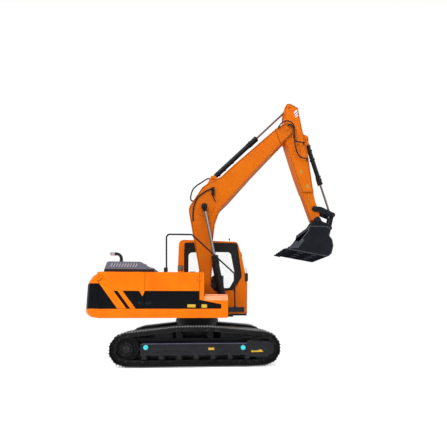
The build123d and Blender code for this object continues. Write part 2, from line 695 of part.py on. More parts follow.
EXHAUST_X = -1808.0
EXHAUST_Y = -300.0
EXHAUST_R = 36.0
EXHAUST_RISE = 236.0
EXHAUST_END_X = -2065.0
EXHAUST_TIP = (42.0, 130.0)  # radius and length of the wider end
EXHAUST_BORE = 32.0
with BuildPart() as exhaust_pipe:
    mouth_z = HOOD_TOP + EXHAUST_RISE
    hose(
        [
            (EXHAUST_X, EXHAUST_Y, HOOD_TOP + FIT),
            (EXHAUST_X, EXHAUST_Y, mouth_z),
            (EXHAUST_END_X, EXHAUST_Y, mouth_z),
        ],
        EXHAUST_R,
        120,
    )
    with Locations(Location((EXHAUST_END_X, EXHAUST_Y, mouth_z), (0, 90, 0))):
        Cylinder(EXHAUST_TIP[0], EXHAUST_TIP[1], align=UPWARDS)
        Cylinder(
            EXHAUST_BORE,
            EXHAUST_TIP[1] - PLAY,
            align=UPWARDS,
            mode=Mode.SUBTRACT,
        )
save(exhaust_pipe, "exhaust_pipe")

# ---------------------------------------------------------------- right front box and rails
LID_HINGE = (BOX_X[0] + 22, BOX_TOP + 14)
BOX_BODY_TOP = BOX_TOP - LID - PLAY
KNUCKLE = 40.0  # length of the box's knuckles
KNUCKLE_YS = (-BODY_HALF + BOX_SLOPE[0] + 60, BOX_INNER_Y - 150)


def slope_y(z):
    """Y of the box's sloped upper edge at a height."""
    return -BODY_HALF + BOX_SLOPE[0] * (z - BOX_TOP + BOX_SLOPE[1]) / BOX_SLOPE[1]


# Corners of the box's cross section: (y, z)
BOX_SECTION = [
    (-BODY_HALF, DECK_Z[0]),
    (-BODY_HALF, BOX_TOP - BOX_SLOPE[1]),
    (slope_y(BOX_BODY_TOP), BOX_BODY_TOP),
    (BOX_INNER_Y, BOX_BODY_TOP),
    (BOX_INNER_Y, DECK_Z[0]),
]
with BuildPart() as front_box:
    with BuildSketch(Plane.YZ.offset(BOX_X[0])):
        with BuildLine():
            Polyline(*BOX_SECTION, close=True)
        make_face()
    extrude(amount=BOX_X[1] - BOX_X[0])
    front_edges = front_box.edges().group_by(Axis.X)[-1]
    fillet(front_edges.sort_by(Axis.Z)[0], DOOR)
    with BuildSketch(Plane.YZ.offset(BOX_X[0] + SHELL)):
        with BuildLine():
            Polyline(*BOX_SECTION, close=True)
        make_face()
        offset(amount=-SHELL, kind=Kind.INTERSECTION)
    extrude(amount=BOX_X[1] - BOX_X[0] - 2 * SHELL, mode=Mode.SUBTRACT)
    block(
        (BOX_X[0] + SHELL, BOX_X[1] - SHELL),
        (slope_y(BOX_TOP) + SHELL, BOX_INNER_Y - SHELL),
        (DECK_Z[1] + SHELL, BOX_TOP),
        Mode.SUBTRACT,
    )
    floor_x = (BOX_X[0] + SHELL, BOX_X[1] - DOOR - PLAY)
    block(floor_x, (-SHELL_HALF, BOX_INNER_Y - SHELL), (DECK_Z[1], DECK_Z[1] + SHELL))
    block((BOX_X[0], BOX_X[1] - DOOR - PLAY), (-SHELL_HALF, BOX_INNER_Y), DECK_Z, Mode.SUBTRACT)
    for low in KNUCKLE_YS:
        block((BOX_X[0], LID_HINGE[0] - 12), (low, low + KNUCKLE), (BOX_BODY_TOP, BOX_TOP + 24))
        block((BOX_X[0], LID_HINGE[0]), (low, low + KNUCKLE), (BOX_TOP + 4, BOX_TOP + 24))
        pin(LID_HINGE, HINGE_R, low, low + KNUCKLE)
        pin(LID_HINGE, HINGE_PIN_R, low - 50, low + KNUCKLE + 50)
save(front_box, "front_box")

# Corners of the lid's cross section: (y, z)
LID_SECTION = [
    (slope_y(BOX_TOP - LID), BOX_TOP - LID),
    (slope_y(BOX_TOP), BOX_TOP),
    (BOX_INNER_Y, BOX_TOP),
    (BOX_INNER_Y, BOX_TOP - LID),
]
with BuildPart() as front_box_lid:
    with BuildSketch(Plane.YZ.offset(LID_HINGE[0] - 8)):
        with BuildLine():
            Polyline(*LID_SECTION, close=True)
        make_face()
    extrude(amount=BOX_X[1] - LID_HINGE[0] + 8)
    for low in KNUCKLE_YS:
        high = low + KNUCKLE
        block(
            (LID_HINGE[0] - 8, LID_HINGE[0] + 30),
            (low - PLAY, high + PLAY),
            (BOX_TOP - LID, BOX_TOP),
            Mode.SUBTRACT,
        )
        for start, stop in ((low - 50, low - FIT), (high + FIT, high + 50)):
            pin(LID_HINGE, HINGE_R, start, stop)
            block((LID_HINGE[0], LID_HINGE[0] + 30), (start, stop), (BOX_TOP - LID, BOX_TOP + 20))
            pin(LID_HINGE, HINGE_PIN_R + FIT, start, stop, Mode.SUBTRACT)
save(front_box_lid, "front_box_lid")

STEP_X = (BOX_X[1] + FIT, 1020.0)
STEP_Y = (-BODY_HALF + 30, BOX_INNER_Y - 40)
STEP_Z = (1140.0, 1242.0)
STEP_SHEET = 16.0
with BuildPart() as front_step:
    block(STEP_X, STEP_Y, STEP_Z)
    block(
        (STEP_X[0], STEP_X[1] - STEP_SHEET),
        (STEP_Y[0] + STEP_SHEET, STEP_Y[1] - STEP_SHEET),
        (STEP_Z[0], STEP_Z[1] - STEP_SHEET),
        Mode.SUBTRACT,
    )
save(front_step, "front_step")

RAIL_R = 17.0
RAIL_Y = -BODY_HALF + 90
RAIL_BASE_X = (-700.0, -622.0)
with BuildPart() as handrail:
    hose(
        [
            (-647, RAIL_Y, BODY_TOP + RAIL_R),
            (-660, RAIL_Y, 2817),
            (-110, RAIL_Y, 2819),
            (815, RAIL_Y, 1975),
            (826, RAIL_Y, STEP_Z[1] + FIT),
        ],
        RAIL_R,
        75,
    )
    block(RAIL_BASE_X, (RAIL_Y - 30, RAIL_Y + 30), (BODY_TOP, BODY_TOP + 100))
save(handrail, "handrail")

# ---------------------------------------------------------------- cab
# Corners of the cab's openings and panels: (x, z, corner radius)
CAB_OUTLINE = [
    (-545, DECK_Z[1], 0),
    (-487, 2990, 130),
    (1038, 2950, 90),
    (1147, 2618, 400),
    (1297, 1850, 200),
    (1282, DECK_Z[1], 0),
]
WINDOW_RIGHT = [
    (-345, 2905, 60),
    (1030, 2912, 70),
    (1150, 2030, 150),
    (935, 1685, 120),
    (700, 1662, 0),
    (-345, 1662, 60),
]
CAB_DOOR = [
    (-480, 1120, 60),
    (-450, 2900, 90),
    (1005, 2900, 80),
    (1148, 2110, 120),
    (1148, 1900, 150),
    (720, 1120, 60),
]
DOOR_WINDOW = [
    (-320, 1500, 60),
    (-300, 2852, 70),
    (962, 2852, 80),
    (1100, 2105, 110),
    (1100, 1915, 120),
    (880, 1500, 80),
]
CAB_HINGE_X = CAB_DOOR[0][0] + HINGE_IN
CAB_HINGE_ZS = (1500.0, 2500.0)
CAB_FRONT_X = (980.0, 1400.0)
CAB_REAR_X = (-600.0, -440.0)
FRONT_WINDOW_Z = (1320.0, 2830.0)
REAR_WINDOW_Z = (1900.0, 2780.0)
GLASS_Y = (CAB_Y[0] + 70, CAB_Y[1] - 70)
GLASS_IN = 14.0  # from the cab's outside to the glass
HATCH_X = (100.0, 760.0)
HATCH_Y = (CAB_Y[0] + 200, CAB_Y[1] - 200)
HATCH_Z = 2925.0


def curved_glass(x, z):
    """Glass that follows the cab's outline, cut to an x and a z range."""
    rounded_slab(CAB_OUTLINE, GLASS_Y[0] + FIT, GLASS_Y[1] - FIT, GLASS_IN)
    rounded_slab(CAB_OUTLINE, *GLASS_Y, GLASS_IN + GLASS, Mode.SUBTRACT)
    block(x, CAB_Y, (z[0] + FIT, z[1] - FIT), Mode.INTERSECT)


with BuildPart() as cab_shell:
    rounded_slab(CAB_OUTLINE, *CAB_Y)
    rounded_slab(CAB_OUTLINE, CAB_Y[0] + CAB_WALL, CAB_Y[1] - CAB_WALL, CAB_WALL, Mode.SUBTRACT)
    rounded_slab(WINDOW_RIGHT, CAB_Y[0], CAB_Y[0] + CAB_WALL, mode=Mode.SUBTRACT)
    rounded_slab(CAB_DOOR, CAB_Y[1] - CAB_WALL, CAB_Y[1], mode=Mode.SUBTRACT)
    block(CAB_FRONT_X, GLASS_Y, FRONT_WINDOW_Z, Mode.SUBTRACT)
    block(CAB_REAR_X, GLASS_Y, REAR_WINDOW_Z, Mode.SUBTRACT)
    block(HATCH_X, HATCH_Y, (HATCH_Z - 50, HATCH_Z + 150), Mode.SUBTRACT)
    for z in CAB_HINGE_ZS:
        fixed_hinge(CAB_HINGE_X, CAB_Y[1], z, -50.0, 1)
save(cab_shell, "cab_shell")

with BuildPart() as cab_door:
    rounded_slab(CAB_DOOR, CAB_Y[1] - CAB_WALL, CAB_Y[1], PLAY)
    rounded_slab(DOOR_WINDOW, CAB_Y[1] - CAB_WALL, CAB_Y[1], mode=Mode.SUBTRACT)
    for z in CAB_HINGE_ZS:
        door_hinge(CAB_HINGE_X, CAB_Y[1], z, 50.0, 1)
save(cab_door, "cab_door")

with BuildPart() as cab_door_glass:
    rounded_slab(DOOR_WINDOW, CAB_Y[1] - 18 - GLASS, CAB_Y[1] - 18, FIT)
save(cab_door_glass, "cab_door_glass")

with BuildPart() as cab_glass_right:
    rounded_slab(WINDOW_RIGHT, CAB_Y[0] + 18, CAB_Y[0] + 18 + GLASS, FIT)
save(cab_glass_right, "cab_glass_right")

with BuildPart() as cab_glass_front:
    curved_glass(CAB_FRONT_X, FRONT_WINDOW_Z)
save(cab_glass_front, "cab_glass_front")

with BuildPart() as cab_glass_rear:
    curved_glass(CAB_REAR_X, REAR_WINDOW_Z)
save(cab_glass_rear, "cab_glass_rear")

with BuildPart() as roof_hatch:
    block(
        (HATCH_X[0] + FIT, HATCH_X[1] - FIT),
        (HATCH_Y[0] + FIT, HATCH_Y[1] - FIT),
        (HATCH_Z, HATCH_Z + GLASS),
    )
save(roof_hatch, "roof_hatch")

FLOOR_Z = DECK_Z[1] + CAB_WALL
with BuildPart() as operator_seat:
    block((60, 420), (540, 940), (FLOOR_Z, 1420))
    block((40, 560), (500, 980), (1420, 1560))
    slab([(40, 1560), (150, 1560), (110, 2260), (10, 2260)], 510, 970)
save(operator_seat, "operator_seat")

with BuildPart() as cab_console:
    block((100, 680), (320, 440), (FLOOR_Z, 1680))
    block((398, 680), (320, 440), (1680, 2060))
    block((100, 680), (1010, 1120), (FLOOR_Z, 1680))
    bar((580, 1680), (610, 1860), 16, 1065)
save(cab_console, "cab_console")

MIRROR_X = (1238.0, 1312.0)
MIRROR_Z = (1905.0, 2120.0)
with BuildPart() as cab_mirror:
    block(MIRROR_X, (CAB_Y[0] - 30, CAB_Y[0] - FIT), MIRROR_Z)
    fillet(cab_mirror.edges().filter_by(Axis.Y), 18)
save(cab_mirror, "cab_mirror")

# ---------------------------------------------------------------- boom
# Corners of the boom's side: (x, z, corner radius)
BOOM_OUTLINE = [
    (90, 1600, 0),
    (47, 2138, 900),
    (-232, 3660, 260),
    (109, 4199, 150),
    (300, 4335, 0),
    (577, 4480, 200),
    (872, 4770, 0),
    (1924, 5736, 0),
    (2060, 5845, 0),
    (2300, 5985, 90),
    (2440, 5810, 80),
    (2370, 5660, 120),
    (2158, 5445, 0),
    (1336, 4547, 0),
    (800, 3920, 300),
    (545, 3660, 300),
    (430, 3330, 500),
    (378, 2869, 0),
    (356, 2140, 0),
    (310, 1600, 0),
]
ARM_SWEEP = [(1300, 5700), (1480, 5330), (1800, 5230), (2000, 4900), (2700, 5300), (2700, 6300)]
LUG_OUTLINE = [
    (130, 4140, 0),
    (262, 4380, 0),
    (325, 4530, 45),
    (430, 4540, 45),
    (530, 4420, 0),
    (600, 4380, 0),
]
with BuildPart() as boom:
    rounded_slab(BOOM_OUTLINE, BOOM_Y - BOOM_HALF, BOOM_Y + BOOM_HALF)
    pin(BOOM_FOOT, 120, BOOM_Y - BOOM_HALF, BOOM_Y + BOOM_HALF)
    pin(BOOM_CYL_TOP, BOSS_R, BOOM_Y - BOOM_HALF - BOSS, BOOM_Y + BOOM_HALF + BOSS)
    slab(ARM_SWEEP, BOOM_Y - ARM_HALF - PLAY, BOOM_Y + ARM_HALF + PLAY, mode=Mode.SUBTRACT)
    pin(BOOM_FOOT, PIN_R + FIT, BOOM_Y - BOOM_HALF, BOOM_Y + BOOM_HALF, Mode.SUBTRACT)
    for low, high in both(ARM_BARREL_R + PLAY, LUG):
        rounded_slab(LUG_OUTLINE, low, high)
    pin(ARM_CYL_FOOT, PIN_R, BOOM_Y - ARM_BARREL_R - PLAY, BOOM_Y + ARM_BARREL_R + PLAY)
    pin(ARM_PIVOT, PIN_R, BOOM_Y - BOOM_HALF, BOOM_Y + BOOM_HALF)
save(boom, "boom")

LAMP_X = (335.0, 410.0)
LAMP_Z = (3990.0, 4190.0)
LAMP_DEPTH = 60.0
with BuildPart() as boom_lamp:
    face_y = BOOM_Y - BOOM_HALF - FIT
    block(LAMP_X, (face_y - LAMP_DEPTH, face_y), LAMP_Z)
    fillet(boom_lamp.edges().filter_by(Axis.Y), 25)
save(boom_lamp, "boom_lamp")

HOSE_R = 13.0
PIPE_R = 9.0
HOSE_Y = BOOM_Y - ARM_BARREL_R - PLAY - LUG / 2
PIPE_Y = BOOM_Y - BOOM_HALF - PIPE_R - FIT
with BuildPart() as boom_hoses:
    hose(
        [
            (-96, HOSE_Y, 3877),
            (-180, HOSE_Y, 3930),
            (-184, HOSE_Y, 4200),
            (60, HOSE_Y, 4470),
            (187, HOSE_Y, 4507),
            (292, HOSE_Y, 4456),
        ],
        HOSE_R,
        70,
    )
    hose(
        [
            (298, PIPE_Y, 4148),
            (110, PIPE_Y, 4026),
            (-64, PIPE_Y, 3777),
            (-112, PIPE_Y, 3520),
            (-110, PIPE_Y, 3341),
        ],
        PIPE_R,
        120,
    )
save(boom_hoses, "boom_hoses")

# ---------------------------------------------------------------- arm
# Corners of the arm's side: (x, z, corner radius)
ARM_OUTLINE = [
    (2225, 6380, 0),
    (2285, 6495, 40),
    (2375, 6505, 60),
    (2578, 6400, 50),
    (2600, 6250, 0),
    (2675, 5830, 100),
    (2800, 5250, 0),
    (2916, 4298, 0),
    (2975, 3950, 200),
    (3075, 3650, 0),
    (3095, 3440, 0),
    (2960, 3395, 0),
    (2885, 3440, 0),
    (2485, 4597, 0),
    (2215, 5500, 0),
    (2190, 5800, 0),
]
FOOT_LUG = [
    (2640, 5760, 0),
    (2712, 5720, 0),
    (2855, 5665, 50),
    (2862, 5455, 50),
    (2770, 5380, 0),
    (2700, 5420, 0),
]
FORK_X = (ARM_CYL_TOP[0] - 235, ARM_CYL_TOP[0] + 170)
FORK_Z = (ARM_CYL_TOP[1] - 375, ARM_CYL_TOP[1] + 275)
FOOT_RECESS_X = (BUCKET_CYL_FOOT[0] - 70, BUCKET_CYL_FOOT[0] + 155)
FOOT_RECESS_Z = (BUCKET_CYL_FOOT[1] - 240, BUCKET_CYL_FOOT[1] + 125)
TIP_X = (2500.0, 3300.0)
TIP_Z = (3200.0, 4150.0)
with BuildPart() as arm:
    rounded_slab(ARM_OUTLINE, BOOM_Y - ARM_HALF, BOOM_Y + ARM_HALF)
    pin(BUCKET_PIVOT, 82, BOOM_Y - ARM_TIP_HALF, BOOM_Y + ARM_TIP_HALF)
    for low, high in both(ARM_TIP_HALF, ARM_HALF - ARM_TIP_HALF):
        block(TIP_X, (low, high), TIP_Z, Mode.SUBTRACT)
    block(FORK_X, (BOOM_Y - FORK_SLOT, BOOM_Y + FORK_SLOT), FORK_Z, Mode.SUBTRACT)
    pin(ARM_PIVOT, 95, BOOM_Y - ARM_HALF, BOOM_Y + ARM_HALF)
    pin(ARM_PIVOT, PIN_R + FIT, BOOM_Y - ARM_HALF, BOOM_Y + ARM_HALF, Mode.SUBTRACT)
    ear_y = (BOOM_Y - ARM_TIP_HALF - EAR - PLAY, BOOM_Y + ARM_TIP_HALF + EAR + PLAY)
    pin(ROCKER_PIVOT, SMALL_PIN_R, *ear_y)
    pin(BUCKET_PIVOT, PIN_R, *ear_y)
    for low, high in both(BUCKET_BARREL_R + PLAY, LUG):
        rounded_slab(FOOT_LUG, low, high)
    foot_y = (BOOM_Y - BUCKET_BARREL_R - PLAY, BOOM_Y + BUCKET_BARREL_R + PLAY)
    block(FOOT_RECESS_X, foot_y, FOOT_RECESS_Z, Mode.SUBTRACT)
    pin(BUCKET_CYL_FOOT, PIN_R, *foot_y)
save(arm, "arm")

# Hoses across the arm's pivot, each from the boom's face to the arm's: (x, z) of the bends between
ARM_HOSE_R = 14.0
ARM_HOSE_Y = BOOM_Y - BOOM_HALF - 42
ARM_HOSES = [
    [(2039, 5811), (2134, 5950), (2330, 6010), (2415, 5890), (2335, 5650), (2440, 5430), (2700, 5427)],
    [(2300, 5880), (2400, 5960), (2515, 5780), (2430, 5300), (2520, 4985), (2780, 5010)],
]
with BuildPart() as arm_hoses:
    for bends in ARM_HOSES:
        start_x, start_z = bends[0]
        end_x, end_z = bends[-1]
        hose(
            [
                (start_x, BOOM_Y - BOOM_HALF - FIT, start_z),
                *[(x, ARM_HOSE_Y, z) for x, z in bends],
                (end_x, BOOM_Y - ARM_HALF - FIT, end_z),
            ],
            ARM_HOSE_R,
            30,
        )
save(arm_hoses, "arm_hoses")

# ---------------------------------------------------------------- hydraulic cylinders
# (name, foot, top, barrel radius, barrel length, gland length, rod radius, rod's inner end from the foot,
# offsets from the boom's middle)
BOOM_CYL_ROWS = (BOOM_CYL_DY, -BOOM_CYL_DY)
CYLINDERS = [
    ("boom_cylinder", BOOM_CYL_FOOT, BOOM_CYL_TOP, BARREL_R, 1140, 160, ROD_R, 1130, BOOM_CYL_ROWS),
    ("arm_cylinder", ARM_CYL_FOOT, ARM_CYL_TOP, ARM_BARREL_R, 1340, 240, THIN_ROD_R, 1180, (0.0,)),
    ("bucket_cylinder", BUCKET_CYL_FOOT, TOGGLE, BUCKET_BARREL_R, 1090, 160, THIN_ROD_R, 790, (0.0,)),
]
BORE_START = 150.0
for name, foot, top, barrel_r, barrel, gland, rod_r, rod_start, offsets in CYLINDERS:
    with BuildPart() as tubes:
        for dy in offsets:
            y = BOOM_Y + dy
            bar(foot, along(foot, top, barrel), barrel_r, y)
            bar(along(foot, top, barrel - PLAY), along(foot, top, barrel + gland), barrel_r + GLAND_STEP, y)
            mouth = along(foot, top, barrel + gland + 1)
            bar(along(foot, top, BORE_START), mouth, rod_r + FIT, y, Mode.SUBTRACT)
            pin(foot, barrel_r + FOOT_EYE, y - barrel_r + FOOT_STEP, y + barrel_r - FOOT_STEP)
            pin(foot, PIN_R + FIT, y - barrel_r, y + barrel_r, Mode.SUBTRACT)
    save(tubes, f"{name}_tube")
    with BuildPart() as rods:
        for dy in offsets:
            y = BOOM_Y + dy
            bar(along(foot, top, rod_start), top, rod_r, y)
            pin(top, ROD_EYE_R, y - ROD_EYE_HALF, y + ROD_EYE_HALF)
            if dy:
                inner, outer = (BOOM_HALF + BOSS + PIN_CAP_GAP, BOOM_CYL_DY + ROD_EYE_HALF + 15)
                reach = sorted(BOOM_Y + dy / BOOM_CYL_DY * end for end in (inner, outer))
                pin(top, PIN_R, *reach)
    save(rods, f"{name}_rod")

# ---------------------------------------------------------------- bucket linkage
ROCKER_OUTLINE = [
    (ROCKER_PIVOT[0], ROCKER_PIVOT[1] + 60, 0),
    (ROCKER_PIVOT[0] + 165, ROCKER_PIVOT[1] + 56, 250),
    (TOGGLE[0] + 5, TOGGLE[1] + 60, 0),
    (TOGGLE[0] - 20, TOGGLE[1] - 56, 0),
    (ROCKER_PIVOT[0] + 160, ROCKER_PIVOT[1] - 98, 250),
    (ROCKER_PIVOT[0], ROCKER_PIVOT[1] - 60, 0),
]
with BuildPart() as rocker_links:
    for low, high in both(ARM_TIP_HALF + PLAY, EAR - PLAY):
        rounded_slab(ROCKER_OUTLINE, low, high)
        pin(ROCKER_PIVOT, 66, low, high)
        pin(TOGGLE, 63, low, high)
        pin(ROCKER_PIVOT, SMALL_PIN_R + FIT, low, high, Mode.SUBTRACT)
save(rocker_links, "rocker_links")

LINK_HALF = 45.0
with BuildPart() as bucket_link:
    for low, high in both(ROD_EYE_HALF + 2 * PLAY, ARM_TIP_HALF - ROD_EYE_HALF - 3 * PLAY):
        slab(
            [
                (TOGGLE[0] - LINK_HALF, TOGGLE[1]),
                (TOGGLE[0] + LINK_HALF, TOGGLE[1]),
                (LINK_PIVOT[0] + LINK_HALF, LINK_PIVOT[1]),
                (LINK_PIVOT[0] - LINK_HALF, LINK_PIVOT[1]),
            ],
            low,
            high,
        )
        pin(TOGGLE, 62, low, high)
    pin(LINK_PIVOT, 62, BOOM_Y - ARM_TIP_HALF + PLAY, BOOM_Y + ARM_TIP_HALF - PLAY)
    pin(LINK_PIVOT, PIN_R + FIT, BOOM_Y - ARM_TIP_HALF, BOOM_Y + ARM_TIP_HALF, Mode.SUBTRACT)
save(bucket_link, "bucket_link")

# ---------------------------------------------------------------- bucket
# Corners of the bucket's side: (x, z, corner radius)
BUCKET_OUTLINE = [
    (2640, 3060, 50),
    (2345, 2705, 20),
    (2293, 2713, 0),
    (2150, 2668, 20),
    (2119, 2610, 0),
    (3110, 2437, 90),
    (3200, 2520, 80),
    (3250, 2705, 150),
    (3222, 2865, 60),
    (3160, 2945, 50),
    (3200, 3105, 50),
    (3120, 3172, 40),
    (2668, 3185, 30),
]
# Corners of the cut that opens the bucket's mouth between its side plates: (x, z)
BUCKET_MOUTH = [(2080, 2641), (2080, 2780), (2630, 3100), (2690, 3060), (2480, 2790), (2450, 2577)]
LIP_X = 2190.0
EAR_OUTLINE = [
    (2790, 3172, 0),
    (2800, 3262, 30),
    (2962, 3490, 40),
    (3085, 3490, 40),
    (3135, 3400, 40),
    (3275, 3345, 30),
    (LINK_PIVOT[0] + 40, LINK_PIVOT[1] + 55, 40),
    (LINK_PIVOT[0] + 58, LINK_PIVOT[1] - 35, 40),
    (3190, 3088, 0),
    (3110, 3160, 0),
]
BUCKET_INNER = BUCKET_HALF - BUCKET_PLATE
with BuildPart() as bucket:
    rounded_slab(BUCKET_OUTLINE, BOOM_Y - BUCKET_HALF, BOOM_Y + BUCKET_HALF)
    rounded_slab(BUCKET_OUTLINE, BOOM_Y - BUCKET_INNER, BOOM_Y + BUCKET_INNER, BUCKET_PLATE, Mode.SUBTRACT)
    slab(BUCKET_MOUTH, BOOM_Y - BUCKET_INNER, BOOM_Y + BUCKET_INNER, mode=Mode.SUBTRACT)
    block((LIP_X - 120, LIP_X), (BOOM_Y - BUCKET_INNER, BOOM_Y + BUCKET_INNER), (2500, 2750), Mode.SUBTRACT)
    for low, high in both(ARM_TIP_HALF + PLAY, EAR):
        rounded_slab(EAR_OUTLINE, low, high)
        pin(BUCKET_PIVOT, PIN_R + FIT, low, high, Mode.SUBTRACT)
    pin(LINK_PIVOT, PIN_R, BOOM_Y - ARM_TIP_HALF - PLAY, BOOM_Y + ARM_TIP_HALF + PLAY)
save(bucket, "bucket")

TOOTH_COUNT = 5
TOOTH_WIDTH = 90.0
TOOTH_TIP_X = 2030.0
# Corners of a tooth: (x, z)
TOOTH_OUTLINE = [(LIP_X - FIT, 2655), (LIP_X - FIT, 2570), (TOOTH_TIP_X, 2606), (TOOTH_TIP_X, 2620)]
TOOTH_REACH = BUCKET_INNER - PLAY - TOOTH_WIDTH / 2  # to the middle of the outer teeth
with BuildPart() as bucket_teeth:
    for i in range(TOOTH_COUNT):
        middle = BOOM_Y - TOOTH_REACH + i * 2 * TOOTH_REACH / (TOOTH_COUNT - 1)
        slab(TOOTH_OUTLINE, middle - TOOTH_WIDTH / 2, middle + TOOTH_WIDTH / 2)
save(bucket_teeth, "bucket_teeth")
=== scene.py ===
"""Looks for the crawler excavator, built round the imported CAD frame, in metres."""

import json
from math import atan2, cos, exp, pi, radians, sin, tan

import bmesh
import bpy
from mathutils import Matrix, Vector
from mathutils.bvhtree import BVHTree


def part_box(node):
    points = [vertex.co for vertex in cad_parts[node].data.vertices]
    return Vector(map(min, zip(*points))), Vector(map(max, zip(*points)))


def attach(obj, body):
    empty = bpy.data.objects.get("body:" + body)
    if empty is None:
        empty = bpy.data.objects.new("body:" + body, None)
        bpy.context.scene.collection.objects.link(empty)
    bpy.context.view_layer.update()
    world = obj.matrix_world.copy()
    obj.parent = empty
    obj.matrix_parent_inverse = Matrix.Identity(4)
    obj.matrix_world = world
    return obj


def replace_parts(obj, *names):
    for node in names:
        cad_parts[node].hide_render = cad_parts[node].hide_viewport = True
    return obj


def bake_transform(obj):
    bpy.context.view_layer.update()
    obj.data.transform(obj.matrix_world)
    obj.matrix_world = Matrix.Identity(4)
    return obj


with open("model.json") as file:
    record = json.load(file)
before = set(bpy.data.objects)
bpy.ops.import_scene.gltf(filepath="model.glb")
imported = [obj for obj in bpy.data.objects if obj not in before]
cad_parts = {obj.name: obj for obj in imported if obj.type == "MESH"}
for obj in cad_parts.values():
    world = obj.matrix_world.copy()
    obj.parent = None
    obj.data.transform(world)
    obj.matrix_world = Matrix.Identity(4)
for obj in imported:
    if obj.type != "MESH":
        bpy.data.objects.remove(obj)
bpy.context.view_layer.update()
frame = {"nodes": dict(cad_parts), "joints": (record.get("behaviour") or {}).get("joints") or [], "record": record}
joints = {joint["name"]: joint for joint in frame["joints"]}
scene = bpy.context.scene


# ------------------------------------------------------------------ places read from the frame
def pivot(name):
    """Rest position of a hinge, as a vector."""
    return Vector(joints[name]["pos_m"])


BOOM_Y = pivot("boom_lift").y
BODY_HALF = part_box("body_shell")[1].y
BODY_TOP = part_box("counterweight")[1].z
ARM_TAIL = Vector((2.335, BOOM_Y, 6.425))
TOGGLE = Vector((3.420, BOOM_Y, 3.575))
BOOM_TOP = Vector((0.161, BOOM_Y, 3.678))
ROD_REACH = (BOOM_TOP - Vector((0.680, BOOM_Y, 1.200))).length
BOOM_CYLINDER_Y = 0.270  # of each boom cylinder, from the boom's middle
BOOM_HALF = 0.170  # half widths of the boom, the arm and the bucket
ARM_HALF = 0.130
BUCKET_HALF = 0.520
EAR_HALF = 0.145  # outer face of the bucket's ears
SIDES = {"left": 1, "right": -1}


# ------------------------------------------------------------------ node trees
class Graph:
    """A node tree and short ways to add to it."""

    def __init__(self, owner):
        owner.use_nodes = True
        self.nodes, self.links = owner.node_tree.nodes, owner.node_tree.links

    def put(self, value, socket):
        """Set a socket from a number, a colour or another node's output."""
        if isinstance(value, bpy.types.NodeSocket):
            self.links.new(value, socket)
        elif isinstance(value, (tuple, list)) and len(value) == 3 and socket.type == "RGBA":
            socket.default_value = (*value, 1)
        else:
            socket.default_value = value

    def node(self, kind, inputs=None, **settings):
        """New node, with inputs by name or number and its own settings."""
        node = self.nodes.new("ShaderNode" + kind)
        for key, value in settings.items():
            setattr(node, key, value)
        for key, value in (inputs or {}).items():
            self.put(value, node.inputs[key])
        return node

    def math(self, operation, first, second=0.0):
        """Result of a math node."""
        return self.node("Math", {0: first, 1: second}, operation=operation).outputs[0]

    def times(self, first, second):
        """Product of two values."""
        return self.math("MULTIPLY", first, second)

    def ramp(self, value, low, high, start=0.0, end=1.0, kind="LINEAR"):
        """Map value from low..high to start..end, held at both ends."""
        limits = {"Value": value, "From Min": low, "From Max": high, "To Min": start, "To Max": end}
        return self.node("MapRange", limits, interpolation_type=kind).outputs[0]


# ------------------------------------------------------------------ camera, light and floor
def make_camera():
    """Eye level and close, as the photograph was taken."""
    data = bpy.data.cameras.new("camera")
    data.sensor_width = 36.0
    data.lens = 25.7
    data.shift_y = 0.12
    camera = bpy.data.objects.new("camera", data)
    scene.collection.objects.link(camera)
    camera.location = (0.11, -8.0, 1.29)
    camera.rotation_euler = (radians(95.0), 0, radians(-3.9))
    scene.camera = camera


def make_lights():
    """One broad key lamp, a weaker fill, and lamps behind and above."""
    target = Vector((0.3, 0, 2.2))
    for name, place, size, power in (
        ("key", (-5.5, -9.5, 9.5), 5.0, 820.0),
        ("fill", (8.5, -6.0, 5.0), 6.0, 150.0),
        ("back", (-3.0, 9.0, 8.0), 7.0, 420.0),
        ("top", (-0.3, -2.2, 9.5), 3.6, 330.0),
    ):
        data = bpy.data.lights.new(name, "AREA")
        data.size = size
        data.energy = power
        lamp = bpy.data.objects.new(name, data)
        lamp.location = place
        lamp.visible_glossy = False
        lamp.rotation_euler = (target - Vector(place)).to_track_quat("-Z", "Y").to_euler()
        scene.collection.objects.link(lamp)


def make_world():
    """White behind the object; on it, a sky that is bright overhead and dim low down."""
    scene.world = bpy.data.worlds.new("studio")
    graph = Graph(scene.world)
    graph.nodes.clear()
    height = graph.node("SeparateXYZ", {0: graph.node("TexCoord").outputs["Generated"]}).outputs["Z"]
    climb = graph.ramp(height, -0.1, 0.9, 0.22, 1.05, "SMOOTHSTEP")
    light = graph.node("Background", {"Color": (0.95, 0.97, 1.0), "Strength": climb})
    shown = graph.node("Background", {"Color": (1, 1, 1), "Strength": 1.0})
    seen = graph.node("LightPath").outputs["Is Camera Ray"]
    mix = graph.node("MixShader", {"Fac": seen, 1: light.outputs[0], 2: shown.outputs[0]})
    graph.node("OutputWorld", {"Surface": mix.outputs[0]})


